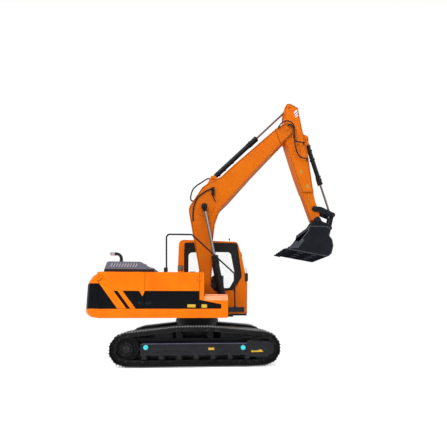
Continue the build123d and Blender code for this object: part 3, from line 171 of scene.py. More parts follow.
def make_floor():
    """Pale floor that keeps the object's shadow and fades into the white behind."""
    size = 60.0
    mesh = bpy.data.meshes.new("floor")
    corners = [(-size, -size, 0), (size, -size, 0), (size, size, 0), (-size, size, 0)]
    mesh.from_pydata(corners, [], [(0, 1, 2, 3)])
    floor = bpy.data.objects.new("floor", mesh)
    scene.collection.objects.link(floor)
    material = bpy.data.materials.new("floor")
    graph = Graph(material)
    graph.nodes.clear()
    seen = graph.node("LightPath").outputs["Is Camera Ray"]
    diffuse = graph.node("BsdfDiffuse", {"Color": (0.80, 0.80, 0.80)})
    glow = graph.node("Emission", {"Color": (1, 1, 1), "Strength": graph.times(seen, 0.55)})
    lit = graph.node("AddShader", {0: diffuse.outputs[0], 1: glow.outputs[0]})
    place = graph.node("TexCoord").outputs["Object"]
    reach = graph.node("VectorMath", {0: place}, operation="LENGTH").outputs["Value"]
    fade = graph.times(graph.ramp(reach, 3.2, 8.0, kind="SMOOTHSTEP"), seen)
    white = graph.node("Emission", {"Color": (1, 1, 1)})
    mix = graph.node("MixShader", {"Fac": fade, 1: lit.outputs[0], 2: white.outputs[0]})
    graph.node("OutputMaterial", {"Surface": mix.outputs[0]})
    mesh.materials.append(material)


# ------------------------------------------------------------------ materials
def tone(colour, factor, lift=0.0):
    """A colour made darker or lighter by a factor, and lifted."""
    return tuple(c * factor + lift for c in colour)


class Shader(Graph):
    """A Principled material with procedural patterns over the rest position."""

    def __init__(self, name, roughness, metallic=0.0):
        self.material = bpy.data.materials.new(name)
        super().__init__(self.material)
        self.bsdf = self.nodes["Principled BSDF"]
        self.set("Roughness", roughness)
        self.set("Metallic", metallic)
        spots = self.node("TexCoord").outputs
        self.place, self.normal = spots["Object"], spots["Normal"]
        self.axes = self.node("SeparateXYZ", {0: self.place}).outputs

    def set(self, name, value):
        """Set or link an input of the surface."""
        self.put(value, self.bsdf.inputs[name])

    def noise(self, scale, detail=3.0, roughness=0.55, stretch=None):
        """Noise over the rest position, stretched along an axis if asked."""
        place = self.place
        if stretch:
            place = self.node("Mapping", {"Scale": stretch, "Vector": place}).outputs[0]
        inputs = {"Scale": scale, "Detail": detail, "Roughness": roughness, "Vector": place}
        return self.node("TexNoise", inputs).outputs["Fac"]

    def patches(self, scale, detail, low, high, start=0.0, end=1.0, stretch=None):
        """Noise sharpened into patches: start below low, end above high."""
        return self.ramp(self.noise(scale, detail, stretch=stretch), low, high, start, end)

    def mix(self, share, first, second):
        """Colour mix."""
        return self.node("Mix", {"Factor": share, 6: first, 7: second}, data_type="RGBA").outputs[2]

    def dot(self, first, second):
        """Scalar product of two vectors."""
        return self.node("VectorMath", {0: first, 1: second}, operation="DOT_PRODUCT").outputs["Value"]

    def upward(self):
        """1 on faces that look up at rest, 0 on upright ones, -1 on those that look down."""
        return self.node("SeparateXYZ", {0: self.normal}).outputs["Z"]

    def rounded_normal(self, radius):
        """Normal of the surface with its edges rounded."""
        return self.node("Bevel", {"Radius": radius}, samples=4).outputs[0]

    def worn_edges(self, radius, scale, low, high):
        """1 in patches along sharp edges and 0 elsewhere, from how far a rounded normal turns away."""
        normal = self.node("NewGeometry").outputs["Normal"]
        edges = self.ramp(self.dot(self.rounded_normal(radius), normal), 0.99, 0.72)
        return self.times(edges, self.patches(scale, 4, low, high))

    def crevice(self, reach):
        """1 deep in corners and gaps, 0 in the open."""
        node = self.node("AmbientOcclusion", {"Distance": reach}, samples=6)
        return self.ramp(node.outputs["AO"], 0.85, 0.30)

    def convex(self, points):
        """1 inside a convex X-Z outline given counter-clockwise."""
        x, _, z = self.axes
        inside = None
        for (x0, z0), (x1, z1) in zip(points, points[1:] + points[:1]):
            run = self.times(self.math("SUBTRACT", z, z0), x1 - x0)
            rise = self.times(self.math("SUBTRACT", x, x0), z1 - z0)
            test = self.math("GREATER_THAN", run, rise)
            inside = test if inside is None else self.times(inside, test)
        return inside

    def finish(self, colour, rough, height, strength, distance, edge=0.0):
        """Set colour and roughness, and a bump over edges rounded by a radius."""
        self.set("Base Color", colour)
        self.set("Roughness", rough)
        inputs = {"Strength": strength, "Distance": distance, "Height": height}
        if edge:
            inputs["Normal"] = self.rounded_normal(edge)
        self.set("Normal", self.node("Bump", inputs).outputs[0])
        return self.material


ORANGE = (0.88, 0.192, 0.0005)
ORANGE_DEEP = (0.80, 0.150, 0.0005)
BAND_BLACK = (0.0015, 0.0018, 0.003)

# Convex parts of the black band on the house's sides, as counter-clockwise (x, z) outlines.
BAND_LOW, BAND_HIGH, BAND_TAIL_TOP = 1.215, 1.587, 1.74
BAND_SHAPES = [
    [(-2.70, BAND_LOW), (-1.635, BAND_LOW), (-2.02, BAND_TAIL_TOP), (-2.70, BAND_TAIL_TOP)],
    [(-1.448, BAND_LOW), (-1.370, BAND_LOW), (-1.645, BAND_HIGH), (-1.727, BAND_HIGH)],
    [(-1.260, BAND_LOW), (-1.129, BAND_LOW), (-1.129, 1.473), (-1.198, BAND_HIGH), (-1.540, BAND_HIGH)],
    [(-1.129, BAND_LOW), (0.064, BAND_LOW), (0.064, BAND_HIGH), (-1.074, BAND_HIGH), (-1.129, 1.473)],
    [(0.064, BAND_LOW), (0.528, BAND_LOW), (0.528, 1.306), (0.064, 1.403)],
]
BAND_SIDE_Y = 1.19  # the band is on what lies further out than this, or behind the next
BAND_TAIL_X = -2.03


def orange_paint(name, band=False, grime=0.10, shade=1.0):
    """Orange enamel: colour drift, streaks of grime, painted shade in corners and gaps, worn edges, and dust with
    a painted sheen on what faces up.
    """
    shader = Shader(name, 0.38)
    facing = shader.ramp(shader.upward(), 0.20, 0.85)
    shader.set("Specular IOR Level", shader.ramp(facing, 0.0, 1.0, 0.16, 0.60))
    # a shade below 1 makes a darker copy of the orange: painted shade on the boom, arm and cab, and the dark
    # colour of the weld beads
    colour = shader.mix(shader.patches(1.7, 4, 0.3, 0.7), tone(ORANGE, shade), tone(ORANGE_DEEP, shade))
    streaks = shader.patches(4.0, 6, 0.48, 0.80, 0.0, grime * 2.5, stretch=(1.0, 1.0, 0.35))
    colour = shader.mix(streaks, colour, (0.42, 0.075, 0.004))
    chips = shader.times(shader.patches(70, 3, 0.66, 0.70), shader.patches(6, 3, 0.5, 0.6))
    colour = shader.mix(shader.times(chips, grime * 3), colour, (0.20, 0.045, 0.010))
    # painted shade: darker brown in corners and gaps, from ambient occlusion in patches
    crevice_shade = shader.times(shader.crevice(0.022), shader.patches(11, 4, 0.25, 0.60, 0.20, 0.60))
    colour = shader.mix(crevice_shade, colour, (0.16, 0.030, 0.004))
    wear = shader.worn_edges(0.010, 14, 0.45, 0.65)
    colour = shader.mix(shader.times(wear, 0.5), colour, (0.42, 0.13, 0.04))
    if band:
        x, y, _ = shader.axes
        inside = shader.convex(BAND_SHAPES[0])
        for outline in BAND_SHAPES[1:]:
            inside = shader.math("MAXIMUM", inside, shader.convex(outline))
        side = shader.math("GREATER_THAN", shader.math("ABSOLUTE", y), BAND_SIDE_Y)
        rear = shader.math("LESS_THAN", x, BAND_TAIL_X)
        inside = shader.times(inside, shader.math("MAXIMUM", side, rear))
        black = shader.mix(shader.times(wear, 0.4), BAND_BLACK, (0.05, 0.05, 0.055))
        colour = shader.mix(inside, colour, black)
    # pale dust on what faces up, which also paints the sheen of light that tops and slopes catch
    dust = shader.times(facing, shader.patches(3.0, 4, 0.3, 0.7, 0.26, 0.42))
    colour = shader.mix(dust, colour, (0.72, 0.60, 0.46))
    rough = shader.patches(9, 4, 0.3, 0.75, 0.28, 0.46)
    return shader.finish(colour, rough, shader.noise(160, 2), 0.05, 0.002, 0.007)


def dark_paint(name, colour, roughness, dust=0.25, edge_colour=(0.16, 0.16, 0.17), shine=0.30):
    """Dark enamel with pale dust and pale edges, dull on what faces down; the edges are rubbed paint, and on the
    bucket painted highlights too.
    """
    shader = Shader(name, roughness)
    shader.set("Specular IOR Level", shader.ramp(shader.upward(), -0.5, -0.1, 0.0, shine))
    mixed = shader.mix(shader.patches(2.6, 5, 0.35, 0.7, 0.0, dust), colour, tone(colour, 1.6, 0.008))
    mixed = shader.mix(shader.patches(55, 3, 0.62, 0.72, 0.0, 0.25), mixed, tone(colour, 2.0, 0.010))
    # pale edges: rubbed paint, and with the bucket's pale edge colours also painted edge highlights
    mixed = shader.mix(shader.times(shader.worn_edges(0.007, 18, 0.42, 0.62), 0.7), mixed, edge_colour)
    rough = shader.patches(7, 4, 0.3, 0.7, roughness - 0.08, roughness + 0.12)
    return shader.finish(mixed, rough, shader.noise(90, 3), 0.10, 0.002, 0.005)


def worn_steel(name, colour, shine=0.55):
    """Cast steel with scuffed pale edges, which also paint highlights on them, and dirt in the hollows."""
    shader = Shader(name, 0.55, metallic=0.55)
    mixed = shader.mix(shader.ramp(shader.noise(5, 6, 0.65), 0.3, 0.7), colour, tone(colour, 0.45))
    mixed = shader.mix(shader.patches(38, 4, 0.58, 0.75, 0.0, 0.35), mixed, (0.17, 0.15, 0.13))
    # pale worn edges, which also paint highlights along the edges of the grousers
    wear = shader.times(shader.worn_edges(0.006, 24, 0.35, 0.6), shine)
    mixed = shader.mix(wear, mixed, (0.62, 0.61, 0.60))
    rough = shader.patches(12, 5, 0.3, 0.7, 0.42, 0.72)
    return shader.finish(mixed, rough, shader.noise(120, 4), 0.22, 0.003, 0.004)


def chrome_rod(name, colour, roughness=0.14, across=None):
    """Bare metal with faint lengthwise streaks and, given a direction across, a painted reflection: dark on the
    sides that face along that direction, bright on the rest.
    """
    shader = Shader(name, roughness, metallic=1.0)
    haze = shader.patches(30, 3, 0.35, 0.7, 0.0, 0.30, stretch=(1, 1, 0.08))
    mixed = shader.mix(haze, colour, tone(colour, 0.62))
    if across:
        # painted reflection: dark where the rod faces along the direction across, a studio reflection fixed to the
        # surface
        side = shader.ramp(shader.math("ABSOLUTE", shader.dot(shader.normal, across)), 0.25, 0.85)
        mixed = shader.mix(side, mixed, tone(colour, 0.12))
    rough = shader.patches(45, 3, 0.3, 0.7, roughness, roughness + 0.12)
    return shader.finish(mixed, rough, shader.noise(300, 2), 0.03, 0.001)


def burnt_pipe(name):
    """Exhaust pipe, dark with heat along the bend and bare at its tip."""
    shader = Shader(name, 0.3, metallic=1.0)
    bare = shader.ramp(shader.axes[0], -1.945, -1.970)
    colour = shader.mix(bare, (0.050, 0.047, 0.046), (0.66, 0.66, 0.67))
    colour = shader.mix(shader.patches(14, 5, 0.45, 0.75, 0.0, 0.6), colour, (0.030, 0.027, 0.026))
    rough = shader.patches(30, 3, 0.3, 0.7, 0.22, 0.42)
    return shader.finish(colour, rough, shader.noise(120, 3), 0.08, 0.001)


def window_glass(name):
    """Clear glass with a faint tint and a little wiped haze."""
    shader = Shader(name, 0.04)
    shader.set("Alpha", shader.patches(3.0, 5, 0.4, 0.8, 0.02, 0.07))
    colour = shader.mix(shader.noise(2.0, 2), (0.86, 0.92, 0.92), (0.90, 0.95, 0.94))
    return shader.finish(colour, shader.patches(20, 4, 0.3, 0.7, 0.03, 0.10), shader.noise(4, 1), 0.02, 0.002)


def rubber(name, colour=(0.007, 0.007, 0.008)):
    """Matt black rubber with fine grain and dust."""
    shader = Shader(name, 0.7)
    colour = shader.mix(shader.patches(18, 5, 0.45, 0.75, 0.0, 0.35), colour, (0.025, 0.024, 0.022))
    rough = shader.patches(30, 3, 0.3, 0.7, 0.55, 0.82)
    return shader.finish(colour, rough, shader.noise(350, 3), 0.15, 0.001)


def plain_plastic(name, colour, roughness=0.5):
    """Moulded plastic or small painted trim."""
    shader = Shader(name, roughness)
    colour = shader.mix(shader.patches(22, 4, 0.3, 0.7), colour, tone(colour, 0.78))
    rough = shader.patches(60, 3, 0.3, 0.7, roughness - 0.08, roughness + 0.1)
    return shader.finish(colour, rough, shader.noise(400, 2), 0.08, 0.001, 0.003)


def woven_fabric(name):
    """Dark seat cloth with a fine two-way weave."""
    shader = Shader(name, 0.85)
    shader.set("Sheen Weight", 0.3)
    warp, weft = (
        shader.node("TexWave", {"Scale": 160, "Vector": shader.place}, bands_direction=axis).outputs["Fac"]
        for axis in ("X", "Z")
    )
    weave = shader.times(warp, weft)
    colour = shader.mix(weave, (0.022, 0.022, 0.026), (0.055, 0.055, 0.062))
    return shader.finish(colour, 0.85, weave, 0.35, 0.001)


MATERIALS = {
    "orange_paint": orange_paint("orange_enamel"),
    # boom, arm and cab: darker copies of the orange that paint the shade they fall in, with more streaks of grime
    "boom_orange_shaded": orange_paint("boom_orange_shaded", grime=0.20, shade=0.62),
    "arm_orange_shaded": orange_paint("arm_orange_shaded", grime=0.20, shade=0.68),
    "cab_orange_shaded": orange_paint("cab_orange_shaded", grime=0.10, shade=0.82),
    "weld_orange": orange_paint("weld_orange", grime=0.30, shade=0.22),
    "band_paint": orange_paint("orange_with_black_band", band=True),
    "hub_black": dark_paint("hub_black", (0.004, 0.004, 0.0045), 0.5, 0.1, shine=0.16),
    "black_paint": dark_paint("black_enamel", (0.006, 0.006, 0.008), 0.38),
    "frame_paint": dark_paint("undercarriage_paint", (0.007, 0.007, 0.009), 0.42, dust=0.45),
    # pale bluish colour of the track frames' top edge strip: a painted highlight
    "frame_edge_highlight": dark_paint("frame_edge_highlight", (0.10, 0.10, 0.15), 0.35),
    # the bucket's lighter plate edges, wear plates and cutters, and its pale edge colours: partly wear, partly
    # painted edge highlights
    "bucket_edge": dark_paint("bucket_edge", (0.042, 0.046, 0.055), 0.34, edge_colour=(0.40, 0.40, 0.41)),
    "bucket_steel": dark_paint(
        "bucket_paint", (0.007, 0.008, 0.012), 0.40, edge_colour=(0.34, 0.33, 0.34), shine=0.14
    ),
    "hood_grey": dark_paint("hood_grey", (0.115, 0.125, 0.165), 0.40, edge_colour=(0.30, 0.29, 0.33)),
    # pale colour of the louvre lips: painted highlights on the blades' edges
    "hood_louvre_highlight": plain_plastic("hood_louvre_highlight", (0.40, 0.42, 0.50), 0.4),
    "track_steel": worn_steel("track_steel", (0.016, 0.016, 0.017)),
    "engine_iron": worn_steel("engine_iron", (0.06, 0.06, 0.065), 0.3),
    "grouser_steel": chrome_rod("grouser_steel", (0.60, 0.59, 0.58), 0.32),
    "rod_chrome": chrome_rod("rod_chrome", (0.86, 0.88, 0.93), across=(0.968, 0, 0.250)),
    "rod_brown": chrome_rod("rod_dark", (0.36, 0.31, 0.30), 0.25),
    "exhaust_metal": burnt_pipe("exhaust_metal"),
    "window_glass": window_glass("window_glass"),
    "seat_fabric": woven_fabric("seat_cloth"),
    "hose_rubber": rubber("hose_rubber"),
    "seal": rubber("window_seal", (0.003, 0.003, 0.003)),
    "cab_plastic": plain_plastic("cab_plastic", (0.008, 0.008, 0.009), 0.6),
    "end_highlight_grey": plain_plastic("end_highlight_grey", (0.46, 0.46, 0.47), 0.45),
    "label_yellow": plain_plastic("label_yellow", (0.75, 0.46, 0.03), 0.4),
    "label_grey": plain_plastic("label_grey", (0.42, 0.42, 0.43), 0.4),
    "label_white": plain_plastic("label_white", (0.80, 0.80, 0.80), 0.4),
    "label_olive": plain_plastic("label_olive", (0.34, 0.30, 0.07), 0.4),
    "disc_cyan": plain_plastic("disc_cyan", (0.05, 0.78, 0.85), 0.35),
    "lens_red": plain_plastic("lens_red", (0.55, 0.02, 0.015), 0.3),
}
# CAD nodes whose finish isn't that of their record slot
OWN_FINISHES = {
    "boom_orange_shaded": ("boom", "boom_bracket"),
    "arm_orange_shaded": ("arm",),
    "cab_orange_shaded": ("cab_shell", "cab_door"),
    "band_paint": (
        "counterweight", "right_rear_door", "right_front_door", "left_side_door", "body_shell", "front_box",
    ),
    "rod_brown": ("arm_cylinder_rod", "bucket_cylinder_rod"),
    "hood_grey": ("engine_hood",),
    "hub_black": [f"{name}_{side}" for name in ("travel_motor", "sprocket", "rollers") for side in SIDES],
}


def dress_frame():
    """Every CAD node gets the finish of its record slot, or its own."""
    finishes = {part["node"]: part["material_slot"] for part in frame["record"]["subparts"]}
    for finish, names in OWN_FINISHES.items():
        finishes.update(dict.fromkeys(names, finish))
    for name, node in frame["nodes"].items():
        node.data.materials.clear()
        node.data.materials.append(MATERIALS[finishes[name]])


# ------------------------------------------------------------------ building pieces
class Piece:
    """Shapes gathered into one named mesh that rides on a CAD body."""

    def __init__(self, name, body, finish, bevel=0.002, slot=None):
        self.name, self.body, self.finish, self.bevel, self.slot = name, body, finish, bevel, slot or finish
        self.mesh = bmesh.new()

    def box(self, low, high, turn=None, about=None):
        """Box between two corners, whose y's come in either order, turned about a point if asked."""
        low, high = Vector(low), Vector(high)
        low.y, high.y = sorted((low.y, high.y))
        place = Matrix.Translation((low + high) / 2) @ Matrix.Diagonal((*(high - low), 1))
        if turn:
            about = Vector(about or (low + high) / 2)
            place = Matrix.Translation(about) @ turn.to_4x4() @ Matrix.Translation(-about) @ place
        bmesh.ops.create_cube(self.mesh, size=1.0, matrix=place)

    def rod(self, start, end, radius, end_radius=None, sides=24):
        """Cylinder or cone between two points."""
        start, end = Vector(start), Vector(end)
        run = end - start
        place = Matrix.Translation((start + end) / 2) @ run.to_track_quat("Z", "Y").to_matrix().to_4x4()
        bmesh.ops.create_cone(
            self.mesh,
            cap_ends=True,
            segments=sides,
            radius1=radius,
            radius2=radius if end_radius is None else end_radius,
            depth=run.length,
            matrix=place,
        )

    def ring(self, start, end, inner, outer, sides=40):
        """Ring round the line between two points."""
        start, end = Vector(start), Vector(end)
        turn = (end - start).to_track_quat("Z", "Y").to_matrix()
        loops = []
        for centre, radius in ((start, inner), (start, outer), (end, outer), (end, inner)):
            spokes = [Vector((x, y, 0)) for x, y in circle_places(0, 0, radius, sides)]
            loops.append([self.mesh.verts.new(centre + turn @ spoke) for spoke in spokes])
        for first, second in zip(loops, loops[1:] + loops[:1]):
            for k in range(sides):
                j = (k + 1) % sides
                self.mesh.faces.new((first[k], first[j], second[j], second[k]))

    def bolt(self, place, out, radius=0.010, height=0.007):
        """Washer and six-sided head standing out of a face."""
        place, out = Vector(place), Vector(out).normalized()
        self.rod(place - out * 0.002, place + out * height * 0.3, radius * 1.5, sides=16)
        self.rod(place, place + out * height, radius, sides=6)

    def bolts(self, places, y, sign, radius, height):
        """Bolts at (x, z) places on an upright face at y that looks along sign."""
        for x, z in places:
            self.bolt((x, y, z), (0, sign, 0), radius, height)

    def prism(self, outline, y_low, y_high):
        """Closed (x, z) outline between two y's."""
        ends = sorted((y_low, y_high))
        rows = [[self.mesh.verts.new((x, y, z)) for x, z in outline] for y in ends]
        self.walls(rows)
        self.mesh.faces.new(rows[0])
        self.mesh.faces.new(rows[1][::-1])

    def disc(self, x, z, radius, sides, y_low, y_high):
        """Upright disc between two y's."""
        self.prism(circle_places(x, z, radius, sides), y_low, y_high)

    def walls(self, rows):
        """Faces between rows of as many vertices each, closed round."""
        for first, second in zip(rows, rows[1:]):
            for i in range(len(first)):
                j = (i + 1) % len(first)
                self.mesh.faces.new((first[j], first[i], second[i], second[j]))

    def frame(self, outer, inner, y_low, y_high):
        """Flat ring between two (x, z) outlines of as many points, with a thickness in y."""
        rows = [
            [self.mesh.verts.new((x, y, z)) for x, z in outline]
            for outline, y in ((outer, y_low), (outer, y_high), (inner, y_high), (inner, y_low))
        ]
        self.walls([*rows, rows[0]])

    def tube(self, points, radius, sides=12, steps=6):
        """Round tube through points, with smooth bends between them."""
        path = smooth_path([Vector(p) for p in points], steps)
        rows = []
        across = None
        for i, place in enumerate(path):
            run = (path[min(i + 1, len(path) - 1)] - path[max(i - 1, 0)]).normalized()
            if across is None:
                across = run.orthogonal().normalized()
            across = (across - run * across.dot(run)).normalized()
            other = run.cross(across)
            angles = (2 * pi * k / sides for k in range(sides))
            spokes = [across * cos(a) + other * sin(a) for a in angles]
            rows.append([self.mesh.verts.new(place + spoke * radius) for spoke in spokes])
        self.walls(rows)
        self.mesh.faces.new(rows[0])
        self.mesh.faces.new(rows[-1][::-1])

    def built(self, crease=None):
        """Object with the gathered mesh and its finish, smooth but for edges sharper than a crease angle."""
        bmesh.ops.recalc_face_normals(self.mesh, faces=self.mesh.faces)
        for face in self.mesh.faces:
            face.smooth = True
        for edge in self.mesh.edges if crease else ():
            edge.smooth = len(edge.link_faces) == 2 and edge.calc_face_angle(0.0) < crease
        data = bpy.data.meshes.new(self.name)
        self.mesh.to_mesh(data)
        self.mesh.free()
        data.materials.append(MATERIALS[self.finish])
        piece = bpy.data.objects.new(self.name, data)
        scene.collection.objects.link(piece)
        return piece

    def done(self):
        """Close the piece: sharp edges, bevel and body."""
        piece = self.built(radians(32))
        if self.bevel:
            bevel = piece.modifiers.new("bevel", "BEVEL")
            bevel.width = self.bevel
            bevel.segments = 2
            bevel.limit_method = "ANGLE"
            bevel.angle_limit = radians(40)
        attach(piece, self.body)
        return piece


def smooth_path(points, steps):
    """Catmull-Rom run through the points."""
    ends = [points[0] * 2 - points[1], *points, points[-1] * 2 - points[-2]]
    path = []
    for before, start, end, after in zip(ends, ends[1:], ends[2:], ends[3:]):
        for k in range(steps):
            t = k / steps
            square = (2 * before - 5 * start + 4 * end - after) * t**2
            cube = (3 * start - before - 3 * end + after) * t**3
            path.append(0.5 * (2 * start + (end - before) * t + square + cube))
    return [*path, points[-1]]


def rounded(corners, steps=6):
    """Points of a closed outline from (x, z, corner radius) corners."""
    points = []
    for before, (x, z, radius), after in zip(corners[-1:] + corners[:-1], corners, corners[1:] + corners[:1]):
        corner = Vector((x, z))
        back = (Vector(before[:2]) - corner).normalized()
        on = (Vector(after[:2]) - corner).normalized()
        half = back.angle(on) / 2
        reach = radius / tan(half)
        centre = corner + (back + on).normalized() * (radius / sin(half))
        start, end = corner + back * reach - centre, corner + on * reach - centre
        for k in range(steps + 1):
            spoke = start.lerp(end, k / steps)
            spoke = spoke.normalized() * radius if radius else spoke
            points.append(tuple(centre + spoke))
    return points


def rounded_all(radius, corners):
    """Points of a closed outline from (x, z) corners that share one radius."""
    return rounded([(x, z, radius) for x, z in corners])


def plate_outline(x, z, width, height, radius):
    """Outline of an upright plate with rounded corners."""
    half, rise = width / 2, height / 2
    corners = [(x - half, z - rise), (x + half, z - rise), (x + half, z + rise), (x - half, z + rise)]
    return rounded_all(radius, corners)


def circle_places(x, z, radius, count, start=0.0):
    """(x, z) places spread round a circle."""
    angles = [start + 2 * pi * k / count for k in range(count)]
    return [(x + radius * cos(angle), z + radius * sin(angle)) for angle in angles]


def lean(degrees, axis="Y"):
    """Rotation about an axis."""
    return Matrix.Rotation(radians(degrees), 3, axis)


# ------------------------------------------------------------------ undercarriage
CHAIN_HALF = 0.085  # outer face of a chain, from the track's middle
LINK_HEIGHT = 0.090  # of a chain's side, across the track's loop
GROUSER_TIP = 0.014  # width of a grouser's tip
FRAME_GUARD_Y = 0.135  # chain guards, from the track's middle


def track_ring(side, y):
    """(x, z) places of the vertices that a CAD track has at one y."""
    mesh = frame["nodes"][f"track_{side}"].data
    ring = {(round(v.co.x, 4), round(v.co.z, 4)) for v in mesh.vertices if abs(v.co.y - y) < 0.0005}
    return [Vector(place) for place in ring]


def chain_pins(side):
    """Places of one chain's pins, and the y of its face, read from the loops of its CAD track."""
    low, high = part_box(f"track_{side}")
    face = (low.y + high.y) / 2 + SIDES[side] * CHAIN_HALF
    ring = track_ring(side, face)
    heart = Vector((0, (low.z + high.z) / 2))
    pins = []
    for inner in ring:
        for outer in ring:
            apart = abs((outer - inner).length - LINK_HEIGHT) < 0.001
            if apart and (outer - heart).length > (inner - heart).length:
                pins.append(inner.lerp(outer, 0.44))
    return pins, face


def grouser_tips(side):
    """Tips of one track's grousers in order round the loop: (both corners, outward direction)."""
    low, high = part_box(f"track_{side}")
    ring = track_ring(side, low.y)
    tips = []
    for i, first in enumerate(ring):
        for second in ring[i + 1 :]:
            if abs((second - first).length - GROUSER_TIP) < 0.0006:
                middle = first.lerp(second, 0.5)
                heart = Vector((max(-1.45, min(1.44, middle.x)), 0.400))
                run = (second - first).normalized()
                out = Vector((-run.y, run.x))
                if out.dot(middle - heart) < 0:
                    out = -out
                tips.append((first, second, out))
    return sorted(tips, key=lambda tip: atan2(tip[0].y - 0.42, tip[0].x)), low.y, high.y


def worn_cap(tip, rise, flare, drop):
    """Outline over a grouser's tip: how far it rises, spreads at its foot and reaches down."""
    first, second, out = tip
    run = (second - first).normalized() * flare
    rise, drop = out * rise, out * drop
    return [tuple(p) for p in (first + rise, second + rise, second + run - drop, first - run - drop)]


def dress_shoes():
    """Polished grouser tips, painted highlights on the shoes' ends, and bolts on the shoes between them."""
    for side in SIDES:
        tips, y_low, y_high = grouser_tips(side)
        polish = Piece(f"grouser_wear_{side}", "undercarriage", "grouser_steel", 0, "track_steel")
        ends = Piece(f"grouser_end_highlights_{side}", "undercarriage", "end_highlight_grey", 0, "track_steel")
        bolts = Piece(f"shoe_bolts_{side}", "undercarriage", "track_steel", 0)
        for i, tip in enumerate(tips):
            first, second, out = tip
            middle = first.lerp(second, 0.5)
            if middle.y < 0.03:
                continue
            polish.prism(worn_cap(tip, 0.0006, 0.0024, 0.010), y_low + 0.004, y_high - 0.004)
            # pale patches over each shoe's ends: painted highlights where light catches them
            for y in (y_low - 0.0010, y_high - 0.0390):
                ends.prism(worn_cap(tip, 0.0018, 0.0050, 0.020), y, y + 0.040)
            after = tips[(i + 1) % len(tips)]
            if i % 3 != 1 or (after[0] - first).length > 0.075:
                continue
            seat = middle.lerp(after[0].lerp(after[1], 0.5), 0.5) - (out + after[2]).normalized() * 0.025
            for share in (0.28, 0.40, 0.60, 0.72):
                y = y_low + (y_high - y_low) * share
                bolts.bolt((seat.x, y, seat.y), (out.x, 0, out.y), 0.010, 0.010)
        for piece in (polish, ends, bolts):
            piece.done()


def dress_tracks():
    """Pin ends and bushings on the chains."""
    for side, sign in SIDES.items():
        pins, face = chain_pins(side)
        chain = Piece(f"chain_pins_{side}", "undercarriage", "track_steel", 0.0015)
        for place in pins:
            for y, out in ((face, sign), (face - sign * 2 * CHAIN_HALF, -sign)):
                for proud, radius in ((0.006, 0.034), (0.012, 0.019)):
                    chain.rod((place.x, y, place.y), (place.x, y + out * proud, place.y), radius)
        chain.done()


def dress_frame_side(side, sign, face):
    """Roller caps, idler guide and inspection cover on a track frame's outer face."""
    trim = Piece(f"track_frame_trim_{side}", "undercarriage", "frame_paint")
    roller_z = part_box(f"rollers_{side}")[0].z + 0.080
    for i in range(7):
        x = -1.08 + i * 0.36
        trim.disc(x, roller_z, 0.042, 24, face, face + sign * 0.010)
        trim.bolts(circle_places(x, roller_z, 0.028, 3, pi / 2), face + sign * 0.010, sign, 0.006, 0.005)
        trim.bolts([(x - 0.032, 0.262), (x + 0.032, 0.262)], face, sign, 0.010, 0.009)
    trim.box((-1.10, face, 0.300), (1.10, face + sign * 0.008, 0.316))
    guide = [(1.02, 0.330), (1.30, 0.330), (1.36, 0.350), (1.36, 0.425), (1.30, 0.445), (1.02, 0.445)]
    cover = rounded_all(0.02, [(-0.62, 0.345), (-0.30, 0.345), (-0.30, 0.435), (-0.62, 0.435)])
    for outline, proud, xs, zs, bolt in (
        (guide, 0.012, (1.05, 1.17, 1.30), (0.345, 0.430), (0.009, 0.008)),
        (cover, 0.006, (-0.60, -0.32), (0.360, 0.420), (0.007, 0.006)),
    ):
        trim.prism(outline, face, face + sign * proud)
        trim.bolts([(x, z) for x in xs for z in zs], face + sign * proud, sign, *bolt)
    trim.done()


def dress_hubs(side, sign, middle, face):
    """Bolts on the travel motor's hub and the cap of the idler's axle."""
    hub = Piece(f"hub_bolts_{side}", "undercarriage", "frame_paint", 0.0015)
    low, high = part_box(f"travel_motor_{side}")
    x, z = (low.x + high.x) / 2, (low.z + high.z) / 2
    cap = high.y if sign == 1 else low.y
    hub.bolts(circle_places(x, z, 0.160, 18), middle + sign * 0.060, sign, 0.010, 0.010)
    hub.bolts(circle_places(x, z, 0.118, 12), cap, sign, 0.008, 0.008)
    hub.disc(x, z, 0.080, 40, cap, cap + sign * 0.012)
    hub.bolts(circle_places(x, z, 0.050, 3, pi / 6), cap + sign * 0.012, sign, 0.012, 0.008)
    hub.done()

    low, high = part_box(f"idler_{side}")
    x, z = (low.x + high.x) / 2, (low.z + high.z) / 2
    axle = Piece(f"idler_caps_{side}", "undercarriage", "frame_paint", 0.0015)
    axle.disc(x, z, 0.052, 28, face, face + sign * 0.012)
    axle.bolts(circle_places(x, z, 0.034, 4, pi / 4), face + sign * 0.012, sign, 0.007, 0.006)
    axle.done()


def dress_yoke(side, sign, face):
    """Idler's yoke plate with its strip and bolts."""
    yoke = Piece(f"idler_yoke_{side}", "undercarriage", "frame_paint", 0.004)
    outline = rounded(
        [
            (1.080, 0.205, 0.02), (1.500, 0.190, 0.05), (1.655, 0.270, 0.06),
            (1.665, 0.430, 0.06), (1.570, 0.520, 0.05), (1.080, 0.545, 0.02),
        ]
    )
    yoke.prism(outline, face - sign * 0.014, face + sign * 0.002)
    yoke.prism([(1.140, 0.452), (1.600, 0.440), (1.600, 0.425), (1.140, 0.437)], face, face + sign * 0.010)
    places = ((1.13, 0.25), (1.13, 0.50), (1.52, 0.24), (1.58, 0.46), (1.36, 0.505), (1.34, 0.225))
    yoke.bolts(places, face + sign * 0.002, sign, 0.010, 0.009)
    yoke.done()


